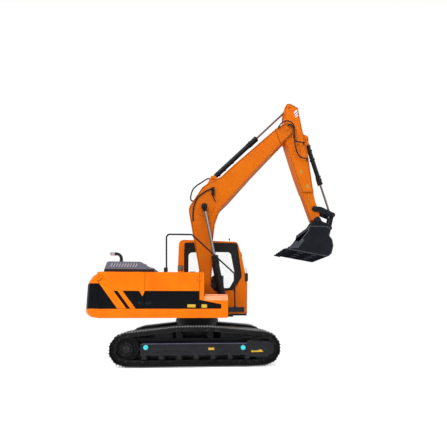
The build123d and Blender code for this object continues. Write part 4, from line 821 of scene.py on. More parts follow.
def dress_track_frames():
    """Roller caps, hubs, idler yokes, a painted highlight strip along the top edge, chain guards, blank plates and
    marker discs.
    """
    for side, sign in SIDES.items():
        low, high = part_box(f"track_frame_{side}")
        face = high.y if sign == 1 else low.y
        middle = (low.y + high.y) / 2
        dress_frame_side(side, sign, face)
        dress_hubs(side, sign, middle, face)
        dress_yoke(side, sign, face)
        # pale bluish strip along the frame's top edge: a painted highlight
        lip = Piece(f"frame_lip_{side}", "undercarriage", "frame_edge_highlight", 0.003, "frame_paint")
        lip.box((-1.13, face - sign * 0.03, 0.474), (1.08, face + sign * 0.012, 0.488))
        lip.done()
        inner = middle - sign * FRAME_GUARD_Y
        guard = Piece(f"chain_guards_{side}", "undercarriage", "frame_paint", 0.003)
        for outline in (
            [(-1.42, 0.125), (-1.20, 0.100), (-1.04, 0.100), (-1.04, 0.300), (-1.42, 0.300)],
            [(1.02, 0.105), (1.20, 0.105), (1.40, 0.140), (1.40, 0.300), (1.02, 0.300)],
        ):
            guard.prism(outline, inner - 0.008, inner + 0.008)
        guard.done()
        label = Piece(f"blank_plate_frame_{side}", "undercarriage", "label_yellow", 0.001, "frame_paint")
        label.box((0.256, face, 0.345), (0.380, face + sign * 0.003, 0.395))
        wedge = [(1.168, 0.292), (1.434, 0.296), (1.352, 0.368), (1.300, 0.345), (1.168, 0.340)]
        label.prism(wedge, face, face + sign * 0.005)
        label.done()
        discs = Piece(f"marker_discs_{side}", "undercarriage", "disc_cyan", 0.001, "track_steel")
        for x, z in ((-1.047, 0.410), (0.995, 0.392)):
            discs.disc(x, z, 0.050, 32, face, face + sign * 0.016)
            discs.disc(x, z, 0.022, 24, face, face + sign * 0.020)
        discs.done()


def dress_car_body():
    """Bearing bolts and a swivel cover under the house."""
    ring = Piece("bearing_bolts", "undercarriage", "frame_paint", 0.0015)
    for x, y in circle_places(0, 0, 0.500, 36):
        ring.bolt((x, y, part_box("swing_bearing")[0].z), (0, 0, -1), 0.011, 0.012)
    ring.done()
    plates = Piece("belly_plates", "undercarriage", "frame_paint")
    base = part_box("car_body")[0].z
    pair = (-0.06, 0.06)
    for x, y in ((x, y) for x in (-0.34, 0.34) for y in (-0.20, 0.20)):
        for dx, dy in ((dx, dy) for dx in pair for dy in pair):
            plates.bolt((x + dx, y + dy, 0.430), (0, 0, -1), 0.009, 0.008)
    plates.rod((0, 0, 0.400), (0, 0, 0.432), 0.110, 0.125, sides=32)
    plates.rod((0, 0, base + 0.03), (0, 0, 0.432), 0.060, sides=24)
    plates.done()


# ------------------------------------------------------------------ house
def dress_sides():
    """Latches, a louvre grille and blank plates on the side doors and the body."""
    for name, sign, x in (
        ("right_rear_door", -1, -1.16),
        ("right_front_door", -1, -1.00),
        ("left_side_door", 1, -0.76),
    ):
        face = sign * BODY_HALF
        latch = Piece(f"{name}_latch", name, "hub_black", 0.0015, "black_paint")
        latch.prism(plate_outline(x, 1.330, 0.110, 0.070, 0.02), face, face + sign * 0.004)
        latch.prism(plate_outline(x, 1.332, 0.080, 0.030, 0.01), face, face + sign * 0.011)
        latch.bolts([(x, 1.332)], face + sign * 0.011, sign, 0.007, 0.003)
        latch.done()
    grille = Piece("left_door_grille", "left_side_door", "black_paint", 0.001)
    for k in range(14):
        z = 1.33 + k * 0.034
        grille.box((-1.86, BODY_HALF, z), (-1.46, BODY_HALF + 0.008, z + 0.016), lean(-18, "X"))
    for x in (-1.88, -1.45):
        grille.box((x, BODY_HALF, 1.30), (x + 0.01, BODY_HALF + 0.010, 1.82))
    grille.done()
    for name, body, low, high in (
        ("blank_plate_body", "house", (0.105, 1.236), (0.222, 1.304)),
        ("blank_plate_door", "right_front_door", (-0.190, 1.242), (-0.020, 1.305)),
    ):
        plate = Piece(name, body, "label_yellow", 0.001, "orange_paint")
        plate.box((low[0], -BODY_HALF - 0.003, low[1]), (high[0], -BODY_HALF, high[1]))
        plate.done()


def dress_body():
    """Tread on the deck, fuel cap, and lifting eyes on the tail."""
    top = BODY_TOP
    deck = Piece("deck_tread", "house", "black_paint", 0.001)
    deck.box((-0.93, -1.14, top), (0.12, -0.60, top + 0.005))
    for i in range(17):
        for j in range(8):
            x, y = -0.895 + i * 0.06 + (j % 2) * 0.03, -1.10 + j * 0.062
            turn = lean(45 if (i + j) % 2 else -45, "Z")
            deck.box((x, y, top + 0.004), (x + 0.026, y + 0.006, top + 0.009), turn)
    deck.done()
    cap = Piece("fuel_cap", "house", "black_paint")
    cap.rod((-0.10, -0.85, top), (-0.10, -0.85, top + 0.035), 0.070, 0.062, sides=32)
    cap.box((-0.165, -0.858, top + 0.030), (-0.035, -0.842, top + 0.048))
    cap.done()
    eyes = Piece("tail_lifting_eyes", "house", "orange_paint", 0.003)
    for y in (-0.75, 0.75):
        eyes.box((-2.21, y - 0.018, top - 0.01), (-2.11, y + 0.018, top + 0.035))
    eyes.done()


HOOD_HALF = 0.700  # half the hood's width
EXHAUST = (-1.808, -0.300)  # x and y of the pipe


def dress_hood():
    """Dark foot strip, grab bar, louvres and exhaust collar of the engine hood."""
    low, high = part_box("engine_hood")
    front, top = low.x + 0.012, high.z
    strip = Piece("hood_foot", "hood", "seal", 0.001, "black_paint")
    for sign in SIDES.values():
        face = sign * HOOD_HALF
        strip.box((front, face, BODY_TOP + 0.008), (-0.972, face + sign * 0.004, BODY_TOP + 0.108))
        places = [(-1.98 + k * 0.19, BODY_TOP + 0.048) for k in range(6)]
        strip.bolts(places, face + sign * 0.004, sign, 0.007, 0.004)
    strip.done()
    bar = Piece("hood_grab", "hood", "black_paint", 0)
    side = ((-1.62, -0.01), (-1.62, 0.06), (-1.56, 0.085), (-1.40, 0.085), (-1.34, 0.06), (-1.34, -0.01))
    bar.tube([(x, 0.46, top + rise) for x, rise in side], 0.010)
    bar.done()
    slats = Piece("hood_louvre_blades", "hood", "seal", 0.0005, "black_paint")
    # pale lips on the louvre blades' edges: painted highlights
    lips = Piece("hood_louvre_lips", "hood", "hood_louvre_highlight", 0.0005, "black_paint")
    for x in [-1.950 + i * 0.550 / 9 for i in range(10)]:
        for sign in SIDES.values():
            y = sign * (HOOD_HALF - 0.030)
            slats.box((x - 0.012, y - 0.012, 2.143), (x + 0.020, y + 0.012, 2.237), lean(29))
            y = sign * (HOOD_HALF + 0.001)
            low, high = (x + 0.0195, y - 0.003, 2.143), (x + 0.0415, y + 0.003, 2.237)
            lips.box(low, high, lean(29), (x + 0.0305, y, 2.190))
    slats.done()
    lips.done()
    ring = Piece("exhaust_collar", "hood", "exhaust_metal")
    ring.rod((*EXHAUST, top), (*EXHAUST, top + 0.014), 0.062, sides=36)
    ring.rod((*EXHAUST, top + 0.05), (*EXHAUST, top + 0.075), 0.041, sides=32)
    for x, y in circle_places(*EXHAUST, 0.052, 4, pi / 4):
        ring.bolt((x, y, top + 0.014), (0, 0, 1), 0.006, 0.005)
    ring.done()


def dress_rails():
    """Clamps and bolts of the handrail, the step's tread and the front box's latch."""
    rail_y = -BODY_HALF + 0.090
    clamps = Piece("handrail_clamps", "house", "black_paint", 0.0015)
    for x, z in ((0.826, 1.252), (0.820, 1.60)):
        clamps.rod((x, rail_y, z - 0.015), (x, rail_y, z + 0.015), 0.026, sides=24)
    places = [(x, BODY_TOP + rise) for x in (-0.688, -0.634) for rise in (0.030, 0.070)]
    clamps.bolts(places, rail_y - 0.030, -1, 0.008, 0.006)
    clamps.done()
    low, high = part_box("front_step")
    tread = Piece("step_tread", "house", "black_paint", 0.0008)
    for i in range(7):
        for j in range(9):
            x, y = low.x + 0.03 + i * 0.046, low.y + 0.05 + j * 0.056
            tread.rod((x, y, high.z), (x, y, high.z + 0.006), 0.015, 0.011, sides=14)
    tread.done()
    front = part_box("front_box_lid")[1].x
    latch = Piece("box_lid_latch", "box_lid", "black_paint")
    latch.box((front - 0.004, -0.92, 1.502), (front + 0.010, -0.84, 1.516))
    latch.box((front - 0.060, -0.91, 1.520), (front + 0.006, -0.85, 1.528))
    latch.done()


# ------------------------------------------------------------------ cab
# Outer and inner outlines of the black glass borders, as (x, z, corner radius).
WINDOW_EDGE = [
    (-0.345, 2.905, 0.06), (1.030, 2.912, 0.07), (1.150, 2.030, 0.15),
    (0.935, 1.685, 0.12), (0.700, 1.662, 0.0), (-0.345, 1.662, 0.06),
]
WINDOW_CLEAR = [
    (-0.238, 2.655, 0.10), (0.868, 2.680, 0.13), (0.996, 2.030, 0.12),
    (0.830, 1.735, 0.06), (0.700, 1.728, 0.0), (-0.238, 1.728, 0.05),
]
DOOR_EDGE = [
    (-0.320, 1.500, 0.06), (-0.300, 2.852, 0.07), (0.962, 2.852, 0.08),
    (1.100, 2.105, 0.11), (1.100, 1.915, 0.12), (0.880, 1.500, 0.08),
]
DOOR_CLEAR = [
    (-0.296, 1.525, 0.05), (-0.276, 2.828, 0.06), (0.945, 2.828, 0.07),
    (1.076, 2.102, 0.10), (1.076, 1.920, 0.11), (0.868, 1.525, 0.07),
]
SEAL = 0.006  # width of the right window's seal past its border


def dress_windows(right, left):
    """Black borders of the right window and the door's, and the right window's seal."""
    border = Piece("right_window_border", "house", "seal", 0, "window_glass")
    border.frame(rounded(WINDOW_EDGE), rounded(WINDOW_CLEAR), right + 0.0120, right + 0.0175)
    border.done()
    lip = Piece("right_window_seal", "house", "seal", slot="cab_plastic")
    outer = rounded(
        [(x + (SEAL if x > 0.5 else -SEAL), z + (SEAL if z > 2.2 else -SEAL), r) for x, z, r in WINDOW_EDGE]
    )
    lip.frame(outer, rounded(WINDOW_EDGE), right - 0.004, right + 0.012)
    lip.done()
    border = Piece("door_window_border", "cab_door", "seal", 0, "window_glass")
    border.frame(rounded(DOOR_EDGE), rounded(DOOR_CLEAR), left - 0.0175, left - 0.010)
    border.done()


def dress_handles(left):
    """Door handle and grab bar on the cab's left side."""
    handle = Piece("cab_door_handle", "cab_door", "black_paint")
    handle.box((0.66, left, 1.40), (0.80, left + 0.010, 1.47))
    side = ((0.68, 0.008), (0.69, 0.030), (0.77, 0.030), (0.78, 0.008))
    handle.tube([(x, left + out, 1.435) for x, out in side], 0.008)
    handle.done()
    grab = Piece("cab_grab_bar", "house", "black_paint", 0)
    side = ((-0.002, 1.45), (0.012, 1.45), (0.012, 1.52), (0.012, 1.80), (0.012, 1.86), (-0.002, 1.86))
    grab.tube([(1.20, left + out, z) for out, z in side], 0.009)
    grab.done()


def dress_cab():
    """Glass borders, handles, vent, seams, lamp, wiper, antenna, mirror arm, duct and linings of the cab."""
    low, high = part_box("cab_shell")
    right, left = low.y, BODY_HALF
    dress_windows(right, left)
    dress_handles(left)
    vent = Piece("cab_vent", "house", "black_paint", 0.001)
    vent.box((-0.515, right - 0.006, 2.180), (-0.375, right, 2.305))
    vent.done()
    slats = Piece("cab_vent_slats", "house", "label_grey", 0.001, "cab_plastic")
    for z in (2.208, 2.238, 2.268):
        slats.box((-0.505, right - 0.010, z), (-0.385, right - 0.004, z + 0.010))
    slats.done()
    seam = Piece("cab_panel_seams", "house", "seal", 0, "orange_paint")
    for x_low, x_high, z_low, z_high in (
        (0.715, 0.719, 1.125, 1.650),
        (0.600, 1.285, 1.235, 1.239),
        (0.600, 1.283, 1.085, 1.094),
    ):
        seam.box((x_low, right - 0.0015, z_low), (x_high, right + 0.001, z_high))
    seam.done()
    lamp = Piece("cab_pillar_lamp", "house", "cab_plastic", 0.004)
    lamp.box((1.118, right + 0.02, 2.565), (1.158, right + 0.10, 2.672), lean(-12))
    lamp.done()
    wiper = Piece("wiper", "house", "black_paint", 0.001)
    wiper.rod((1.288, 0.72, 1.42), (1.225, 0.62, 2.10), 0.006, sides=10)
    wiper.rod((1.296, 0.72, 1.42), (1.250, 0.72, 1.43), 0.020, sides=16)
    wiper.box((1.212, 0.600, 1.86), (1.224, 0.612, 2.42), lean(-10.5))
    wiper.done()
    mast = Piece("cab_antenna", "house", "black_paint", 0)
    mast.rod((0.88, 0.85, high.z - 0.10), (0.88, 0.85, high.z + 0.17), 0.005, sides=10)
    mast.rod((0.88, 0.85, high.z + 0.13), (0.88, 0.85, high.z + 0.18), 0.020, 0.014, sides=16)
    mast.done()
    roof = Piece("roof_trim", "house", "seal", slot="cab_plastic")
    z = high.z - 0.006
    for y in (0.445, 1.020):
        roof.box((0.10, y, z - 0.015), (0.76, y + 0.02, z + 0.004), lean(1.5))
    roof.done()
    mirror = Piece("mirror_arm", "house", "black_paint", 0)
    side = ((1.245, 0.004, 2.26), (1.258, -0.030, 2.24), (1.270, -0.032, 2.12), (1.272, -0.032, 2.06))
    mirror.tube([(x, right + out, z) for x, out, z in side], 0.007)
    mirror.done()
    duct = Piece("cab_side_duct", "house", "cab_plastic", 0.010)
    duct.box((0.330, right + 0.072, 1.66), (0.470, right + 0.175, 2.035))
    duct.done()
    inner = Piece("cab_headliner", "house", "cab_plastic", 0.003)
    inner.box((-0.40, right + 0.060, 2.880), (0.95, left - 0.060, 2.893))
    inner.done()


# ------------------------------------------------------------------ seat
SEAT_Y = 0.740
CLOTH_FRAMES = 20
CLOTH_VOXEL = 0.009
CLOTH_REACH = 0.022  # furthest that the cloth may move from its blank
CHANNEL = 0.007  # width and depth of a sewn channel
LEVER_YS = (0.455, 1.000)


def evaluated_mesh(piece):
    """A piece's mesh with its modifiers applied, which are then removed."""
    mesh = bpy.data.meshes.new_from_object(piece.evaluated_get(bpy.context.evaluated_depsgraph_get()))
    piece.modifiers.clear()
    return mesh


def swollen(blank):
    """Blow a cushion blank up as cloth, keeping each point within a distance of where it started."""
    voxels = blank.modifiers.new("even_mesh", "REMESH")
    voxels.mode = "VOXEL"
    voxels.voxel_size = CLOTH_VOXEL
    even = evaluated_mesh(blank)
    blank.data = even
    start = [v.co.copy() for v in even.vertices]
    cloth = blank.modifiers.new("cloth", "CLOTH")
    cloth.settings.quality = 5
    cloth.settings.use_pressure = True
    cloth.settings.uniform_pressure_force = 4
    cloth.settings.effector_weights.gravity = 0
    cloth.point_cache.frame_start, cloth.point_cache.frame_end = 1, CLOTH_FRAMES
    for step in range(1, CLOTH_FRAMES + 1):
        scene.frame_set(step)
    blown = evaluated_mesh(blank)
    scene.frame_set(1)
    for vertex, place in zip(blown.vertices, start):
        move = vertex.co - place
        if move.length > CLOTH_REACH:
            vertex.co = place + move * (CLOTH_REACH / move.length)
    blank.data = blown


def pad_blank(name, half, crown):
    """Rounded, crowned block whose sides pull in between its corners, from its half sizes."""
    mesh = bmesh.new()
    bmesh.ops.create_cube(mesh, size=2.0)
    bmesh.ops.subdivide_edges(mesh, edges=mesh.edges, cuts=15, use_grid_fill=True)
    corner = min(half) * 0.80
    for vertex in mesh.verts:
        point = Vector(vertex.co[k] * half[k] for k in range(3))
        inner = Vector(max(corner - half[k], min(half[k] - corner, point[k])) for k in range(3))
        outward = point - inner
        if outward.length > 1e-9:
            point = inner + outward.normalized() * corner
        u, v = point.x / half.x, point.y / half.y
        point.x *= 1 - 0.045 * (1 - v * v)
        point.y *= 1 - 0.045 * (1 - u * u)
        rise = crown if point.z > 0 else -0.3 * crown
        point.z += rise * (1 - u * u) * (1 - v * v)
        vertex.co = point
    data = bpy.data.meshes.new(name)
    mesh.to_mesh(data)
    mesh.free()
    return data


def sew(vertices, half_z, channels):
    """Press sewn channels into a pad's face and draw its seam in."""
    for vertex in vertices:
        vertex.co.z = max(vertex.co.z, -0.92 * half_z)
        if vertex.co.z > 0:
            for axis, offset in channels:
                gap = (vertex.co[axis] - offset) / CHANNEL
                vertex.co.z -= CHANNEL * exp(-gap * gap) * min(1, vertex.co.z / (half_z * 0.5))
        if abs(vertex.co.z) < 0.012:
            pull = 1 - 0.012 * exp(-((vertex.co.z / 0.006) ** 2))
            vertex.co.x *= pull
            vertex.co.y *= pull


def pipe_seam(name, data, half, place):
    """Piping round a pad, laid where rays from outside meet its seam."""
    welt = Piece(name + "_piping", "house", "seal", 0, "seat_fabric")
    around = BVHTree.FromPolygons([v.co for v in data.vertices], [list(f.vertices) for f in data.polygons])
    ring = []
    for k in range(72):
        way = Vector((cos(2 * pi * k / 72) * half.x, sin(2 * pi * k / 72) * half.y, 0)).normalized()
        ring.append(place @ around.ray_cast(way * 2, -way)[0])
    for first, second in zip(ring, ring[1:] + ring[:1]):
        welt.rod(first, second, 0.0042, sides=8)
    welt.done()


def seat_pad(name, centre, size, tilt, channels, crown):
    """Stuffed pad with sewn channels and a piped seam. Its local axes are across, along and out."""
    half = Vector(size) / 2
    pad = bpy.data.objects.new(name, pad_blank(name, half, crown))
    scene.collection.objects.link(pad)
    swollen(pad)
    pad.modifiers.new("fine", "SUBSURF").levels = 1
    pad.data = evaluated_mesh(pad)
    sew(pad.data.vertices, half.z, channels)
    place = Matrix.Translation(centre) @ Matrix.Rotation(radians(tilt), 4, "Y")
    pipe_seam(name, pad.data, half, place)
    pad.data.transform(place)
    for face in pad.data.polygons:
        face.use_smooth = True
    pad.data.materials.clear()
    pad.data.materials.append(MATERIALS["seat_fabric"])
    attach(pad, "house")
    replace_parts(pad, "operator_seat")


def dress_seat():
    """Stuffed seat on its suspension, with armrests, levers, gaiters and pedals, inside the cab."""
    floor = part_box("operator_seat")[0].z
    for name, x, z, size, tilt, channels, crown in (
        ("seat_cushion", 0.300, 1.492, (0.470, 0.430, 0.100), 0, ((1, -0.125), (1, 0.125), (0, 0.12)), 0.010),
        ("seat_back", 0.088, 1.810, (0.440, 0.420, 0.078), 87, ((1, -0.120), (1, 0.120), (0, 0.0)), 0.008),
        ("seat_headrest", 0.062, 2.160, (0.140, 0.260, 0.066), 87, [(0, 0.0)], 0.006),
    ):
        seat_pad(name, (x, SEAT_Y, z), size, tilt, channels, crown)
    seat = Piece("seat_levers", "house", "cab_plastic", 0.003)
    controls = Piece("cab_controls", "house", "seal", 0.001, "cab_plastic")
    for y in LEVER_YS:
        middle = y + 0.028
        seat.box((0.12, y, 1.66), (0.46, y + 0.055, 1.70))
        seat.rod((0.44, middle, 1.69), (0.47, middle, 1.84), 0.014, 0.018, sides=16)
        seat.rod((0.47, middle, 1.83), (0.475, middle, 1.89), 0.024, 0.020, sides=16)
        for k in range(4):
            z, narrow = 1.698 + k * 0.014, k * 0.006
            widths = (0.040 - narrow, 0.034 - narrow)
            controls.rod((0.44, middle, z), (0.442, middle, z + 0.014), *widths, sides=20)
    seat.done()
    for y in (0.62, 0.80):
        controls.rod((0.74, y, floor + 0.005), (0.70, y, floor + 0.52), 0.010, sides=14)
        controls.rod((0.70, y, floor + 0.50), (0.695, y, floor + 0.58), 0.022, 0.018, sides=18)
        controls.box((0.72, y - 0.055, floor + 0.03), (0.86, y + 0.055, floor + 0.045), lean(-22))
    controls.done()
    mount = Piece("seat_suspension", "house", "cab_plastic")
    mount.box((0.06, 0.54, floor), (0.42, 0.94, floor + 0.045))
    mount.box((0.06, 0.56, 1.385), (0.44, 0.92, 1.425))
    for k in range(7):
        z = floor + 0.048 + k * 0.032
        fold = 0.0 if k % 2 else 0.012
        mount.box((0.080 + fold, 0.565 + fold, z), (0.400 - fold, 0.915 - fold, z + 0.030))
    mount.box((0.028, 0.600, 1.43), (0.045, 0.880, 1.90))
    for y in (0.680, 0.800):
        mount.rod((0.050, y, 2.02), (0.058, y, 2.12), 0.007, sides=14)
    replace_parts(mount.done(), "operator_seat")


# ------------------------------------------------------------------ working equipment
def dress_cylinder(name, barrel, gland, radius, offsets):
    """Gland bolts, collars, clamps and a pipe on a cylinder's tube."""
    run = Vector(joints[f"{name}_slide"]["axis"]).normalized()
    across = Vector((-run.z, 0, run.x))
    side = Vector((0, 1, 0))
    body = f"{name}_tube"
    trim = Piece(f"{name}_trim", body, "black_paint", 0.0015)
    pipe = Piece(f"{name}_pipes", body, "black_paint", 0)
    pad = Vector((0.010, 0.018, 0.010))
    for dy in offsets:
        shift = pivot(f"{name}_tilt") + side * dy
        for along in (barrel + 0.012, barrel + gland - 0.022):
            trim.ring(shift + run * along, shift + run * (along + 0.010), radius * 0.90, radius + 0.021)
        for turn in (2 * pi * k / 8 for k in range(8)):
            spoke = across * cos(turn) + side * sin(turn)
            trim.bolt(shift + run * (barrel + gland) + spoke * (radius - 0.006), run, 0.008, 0.008)
        for along in (0.18, barrel * 0.28, barrel * 0.5, barrel - 0.06):
            start = shift + run * along
            trim.ring(start, shift + run * (along + 0.036), radius * 0.90, radius + 0.012)
            trim.box(start + across * radius - pad, start + across * (radius + 0.022) + pad)
        route = (
            (0.10, -0.004),
            (0.12, 0.007),
            (0.20, 0.007),
            (barrel - 0.05, 0.007),
            (barrel + 0.03, 0.026),
            (barrel + 0.05, 0.010),
        )
        pipe.tube([shift + run * along + across * (radius + out) for along, out in route], 0.009)
    trim.done()
    pipe.done()


def pin_cap(piece, place, half, sign, radius):
    """Round pin head with a keeper plate and its bolt, on a face half a width from the boom's middle."""
    out = Vector((0, sign, 0))
    place = Vector((place.x, BOOM_Y + sign * half, place.z))
    piece.rod(place, place + out * 0.012, radius, sides=36)
    piece.rod(place + out * 0.010, place + out * 0.018, radius * 0.55, sides=28)
    piece.rod(place + out * 0.016, place + out * 0.026, 0.006, sides=10)


def pin_caps(name, body, finish, slot, pins):
    """Piece with the heads of (place, half width, radius) pins on both sides."""
    caps = Piece(name, body, finish, 0.0015, slot)
    for sign in SIDES.values():
        for place, half, radius in pins:
            pin_cap(caps, place, half, sign, radius)
    caps.done()


def outer_loop(name, y, sign):
    """Outer boundary, in order, of a CAD node's flat face at y that looks along sign."""
    mesh = frame["nodes"][name].data
    edges = {}
    for face in mesh.polygons:
        if face.normal.y * sign > 0.999 and abs(face.center.y - y) < 0.0008:
            for key in face.edge_keys:
                ends = tuple(sorted(tuple(round(c, 5) for c in mesh.vertices[k].co) for k in key))
                edges[ends] = edges.get(ends, 0) + 1
    after = {}
    for (first, second), count in edges.items():
        if count == 1:
            after.setdefault(first, []).append(second)
            after.setdefault(second, []).append(first)
    loops = []
    while after:
        start = next(iter(after))
        loop, here, last = [], start, None
        while here in after:
            ways = after.pop(here)
            loop.append(Vector((here[0], here[2])))
            onward = [way for way in ways if way != last and way in after]
            last, here = here, onward[0] if onward else None
        loops.append(loop)
    return max(loops, key=loop_length, default=[])


def loop_length(loop):
    """Length of a closed loop."""
    return sum((b - a).length for a, b in zip(loop, loop[1:] + loop[:1]))


def inset(loop, distance):
    """The loop moved inwards by a distance."""
    area = sum(a.cross(b) for a, b in zip(loop, loop[1:] + loop[:1]))
    turn = 1 if area > 0 else -1
    moved = []
    for before, here, after in zip(loop[-1:] + loop[:-1], loop, loop[1:] + loop[:1]):
        first, second = (here - before).normalized(), (after - here).normalized()
        first, second = Vector((-first.y, first.x)) * turn, Vector((-second.y, second.x)) * turn
        mean = (first + second).normalized()
        moved.append(here + mean * (distance / max(0.35, mean.dot(first))))
    return moved


RIM_WIDTH = 0.016
RIM_PROUD = 0.005  # how far a plate's edge stands out
SHORTEST_EDGE = 0.0005  # shorter ones are left out


def rim(piece, bead, name, y, sign):
    """Plate edge standing proud round a flat face, with a weld bead along its inner side."""
    loop = outer_loop(name, y, sign)
    loop = [p for p, q in zip(loop, loop[1:] + loop[:1]) if (q - p).length > SHORTEST_EDGE]
    inner = inset(loop, RIM_WIDTH)
    seam = inset(loop, RIM_WIDTH + 0.004)
    for k in range(len(loop)):
        j = (k + 1) % len(loop)
        corners = [loop[k], loop[j], inner[j], inner[k]]
        piece.prism([tuple(corner) for corner in corners], y, y + sign * RIM_PROUD)
        if (seam[j] - seam[k]).length > SHORTEST_EDGE:
            bead.rod((seam[k].x, y, seam[k].y), (seam[j].x, y, seam[j].y), 0.007, sides=6)


def dress_rims():
    """Plate edges and weld beads of the boom, arm and bucket."""
    for name, half, finish, weld, slot in (
        ("boom", BOOM_HALF, "boom_orange_shaded", "weld_orange", "orange_paint"),
        ("arm", ARM_HALF, "arm_orange_shaded", "weld_orange", "orange_paint"),
        ("bucket", BUCKET_HALF, "bucket_edge", "bucket_steel", "bucket_steel"),
    ):
        plate = Piece(f"{name}_plate_edges", name, finish, 0, slot)
        bead = Piece(f"{name}_weld_beads", name, weld, 0, slot)
        for sign in SIDES.values():
            y = BOOM_Y + sign * half
            rim(plate, bead, name, y, sign)
            if name == "boom":
                bead.rod((1.955, y, 5.790), (2.105, y, 5.370), 0.009, sides=8)
        plate.done()
        bead.done()


def dress_boom():
    """Pin heads, rod eyes, pipe clips, lamp lead and foot doublers of the boom."""
    turn = pivot("arm_swing")
    places = circle_places(turn.x, turn.z, 0.088, 4, pi / 4)
    caps = Piece("boom_pins", "boom", "boom_orange_shaded", 0.0015, "orange_paint")
    for sign in SIDES.values():
        pin_cap(caps, turn, BOOM_HALF, sign, 0.062)
        caps.bolts(places, BOOM_Y + sign * BOOM_HALF, sign, 0.009, 0.008)
        pin_cap(caps, pivot("arm_cylinder_tilt"), 0.087, sign, 0.050)
    caps.done()
    eyes = Piece("boom_rod_eye_caps", "boom_cylinder_rod", "black_paint", 0.003, "rod_chrome")
    run = Vector(joints["boom_cylinder_slide"]["axis"]).normalized()
    top = pivot("boom_cylinder_tilt") + run * ROD_REACH
    low = top - run * 0.125
    for sign in SIDES.values():
        y = BOOM_Y + sign * BOOM_CYLINDER_Y
        eyes.rod((top.x, y - 0.052, top.z), (top.x, y + 0.052, top.z), 0.074, sides=40)
        eyes.rod((top.x, y, top.z), (top.x, y + sign * 0.066, top.z), 0.044, sides=32)
        eyes.rod((low.x, y, low.z), (top.x, y, top.z), 0.040, 0.052, sides=32)
    eyes.done()
    clips = Piece("boom_pipe_clips", "boom", "black_paint", 0.001)
    face = BOOM_Y - BOOM_HALF
    for x, z in ((0.190, 4.092), (0.016, 3.943), (-0.100, 3.66), (-0.112, 3.43)):
        clips.box((x - 0.014, face - 0.020, z - 0.014), (x + 0.014, face, z + 0.014))
        clips.bolts([(x, z)], face - 0.020, -1, 0.006, 0.005)
    clips.done()
    lead = Piece("boom_lamp_lead", "boom", "black_paint", 0)
    route = ((0.372, 0.030, 4.00), (0.385, 0.030, 3.93), (0.425, 0.022, 3.86), (0.432, 0, 3.84))
    lead.tube([(x, face - out, z) for x, out, z in route], 0.010)
    lead.done()
    doubler = Piece("boom_doubler", "boom", "boom_orange_shaded", 0.003, "orange_paint")
    outline = rounded_all(0.10, [(0.02, 3.50), (0.30, 3.44), (0.42, 3.74), (0.24, 3.93), (0.03, 3.80)])
    for sign in SIDES.values():
        side = BOOM_Y + sign * BOOM_HALF
        doubler.prism(outline, side, side + sign * 0.010)
    doubler.done()


def dress_arm():
    """Pin heads on the arm, painted with it except at the rocker."""
    pins = ((ARM_TAIL, ARM_HALF, 0.046), (pivot("bucket_cylinder_tilt"), 0.083, 0.048))
    pin_caps("arm_pins", "arm", "arm_orange_shaded", "orange_paint", pins)
    pins = [(pivot("rocker_swing"), EAR_HALF, 0.045)]
    pin_caps("arm_tip_pins", "arm", "black_paint", "black_paint", pins)


def dress_labels():
    """Barred plate, small blank plates and a raised panel's edge on the arm's right side."""
    face = BOOM_Y - ARM_HALF
    middle = Vector((2.530, 6.240))
    slant = radians(17)
    along, up = Vector((cos(slant), sin(slant))), Vector((-sin(slant), cos(slant)))
    wide, slope = 0.052, 0.026

    def bar(piece, low, high, proud):
        """Slanted bar across the plate, between two heights at its middle."""
        corners = [(-wide, low - slope), (wide, low + slope), (wide, high + slope), (-wide, high - slope)]
        piece.prism([tuple(middle + along * u + up * v) for u, v in corners], face - proud, face)

    white = Piece("arm_plate_white", "arm", "label_white", 0, "orange_paint")
    bar(white, -0.075, 0.075, 0.002)
    white.done()
    red = Piece("arm_plate_bars", "arm", "lens_red", 0, "orange_paint")
    for height in (-0.034, 0.022):
        bar(red, height - 0.014, height + 0.014, 0.003)
    red.done()
    plates = Piece("arm_blank_plates", "arm", "label_olive", 0.0005, "orange_paint")
    for x, z, width, height in (
        (2.629, 4.680, 0.050, 0.080),
        (2.790, 4.308, 0.055, 0.090),
        (2.800, 3.960, 0.030, 0.050),
    ):
        x_half, z_half = width / 2, height / 2
        plates.box((x - x_half, face - 0.002, z - z_half), (x + x_half, face, z + z_half), lean(-17))
    plates.done()
    panel = Piece("arm_panel", "arm", "arm_orange_shaded", 0.003, "orange_paint")
    outline = rounded_all(0.03, [(2.470, 5.05), (2.640, 5.08), (2.600, 5.42), (2.430, 5.39)])
    inner = rounded_all(0.03, [(2.485, 5.07), (2.622, 5.095), (2.585, 5.40), (2.448, 5.375)])
    panel.frame(outline, inner, face - 0.005, face)
    panel.done()


def dress_linkage():
    """Pin heads on the rocker and the bucket's ears."""
    pin_caps("toggle_pin", "rocker", "black_paint", "black_paint", [(TOGGLE, 0.140, 0.046)])
    pins = ((pivot("link_swing"), EAR_HALF, 0.050), (pivot("bucket_curl"), EAR_HALF, 0.078))
    pin_caps("link_pin_heads", "bucket", "black_paint", "black_paint", pins)


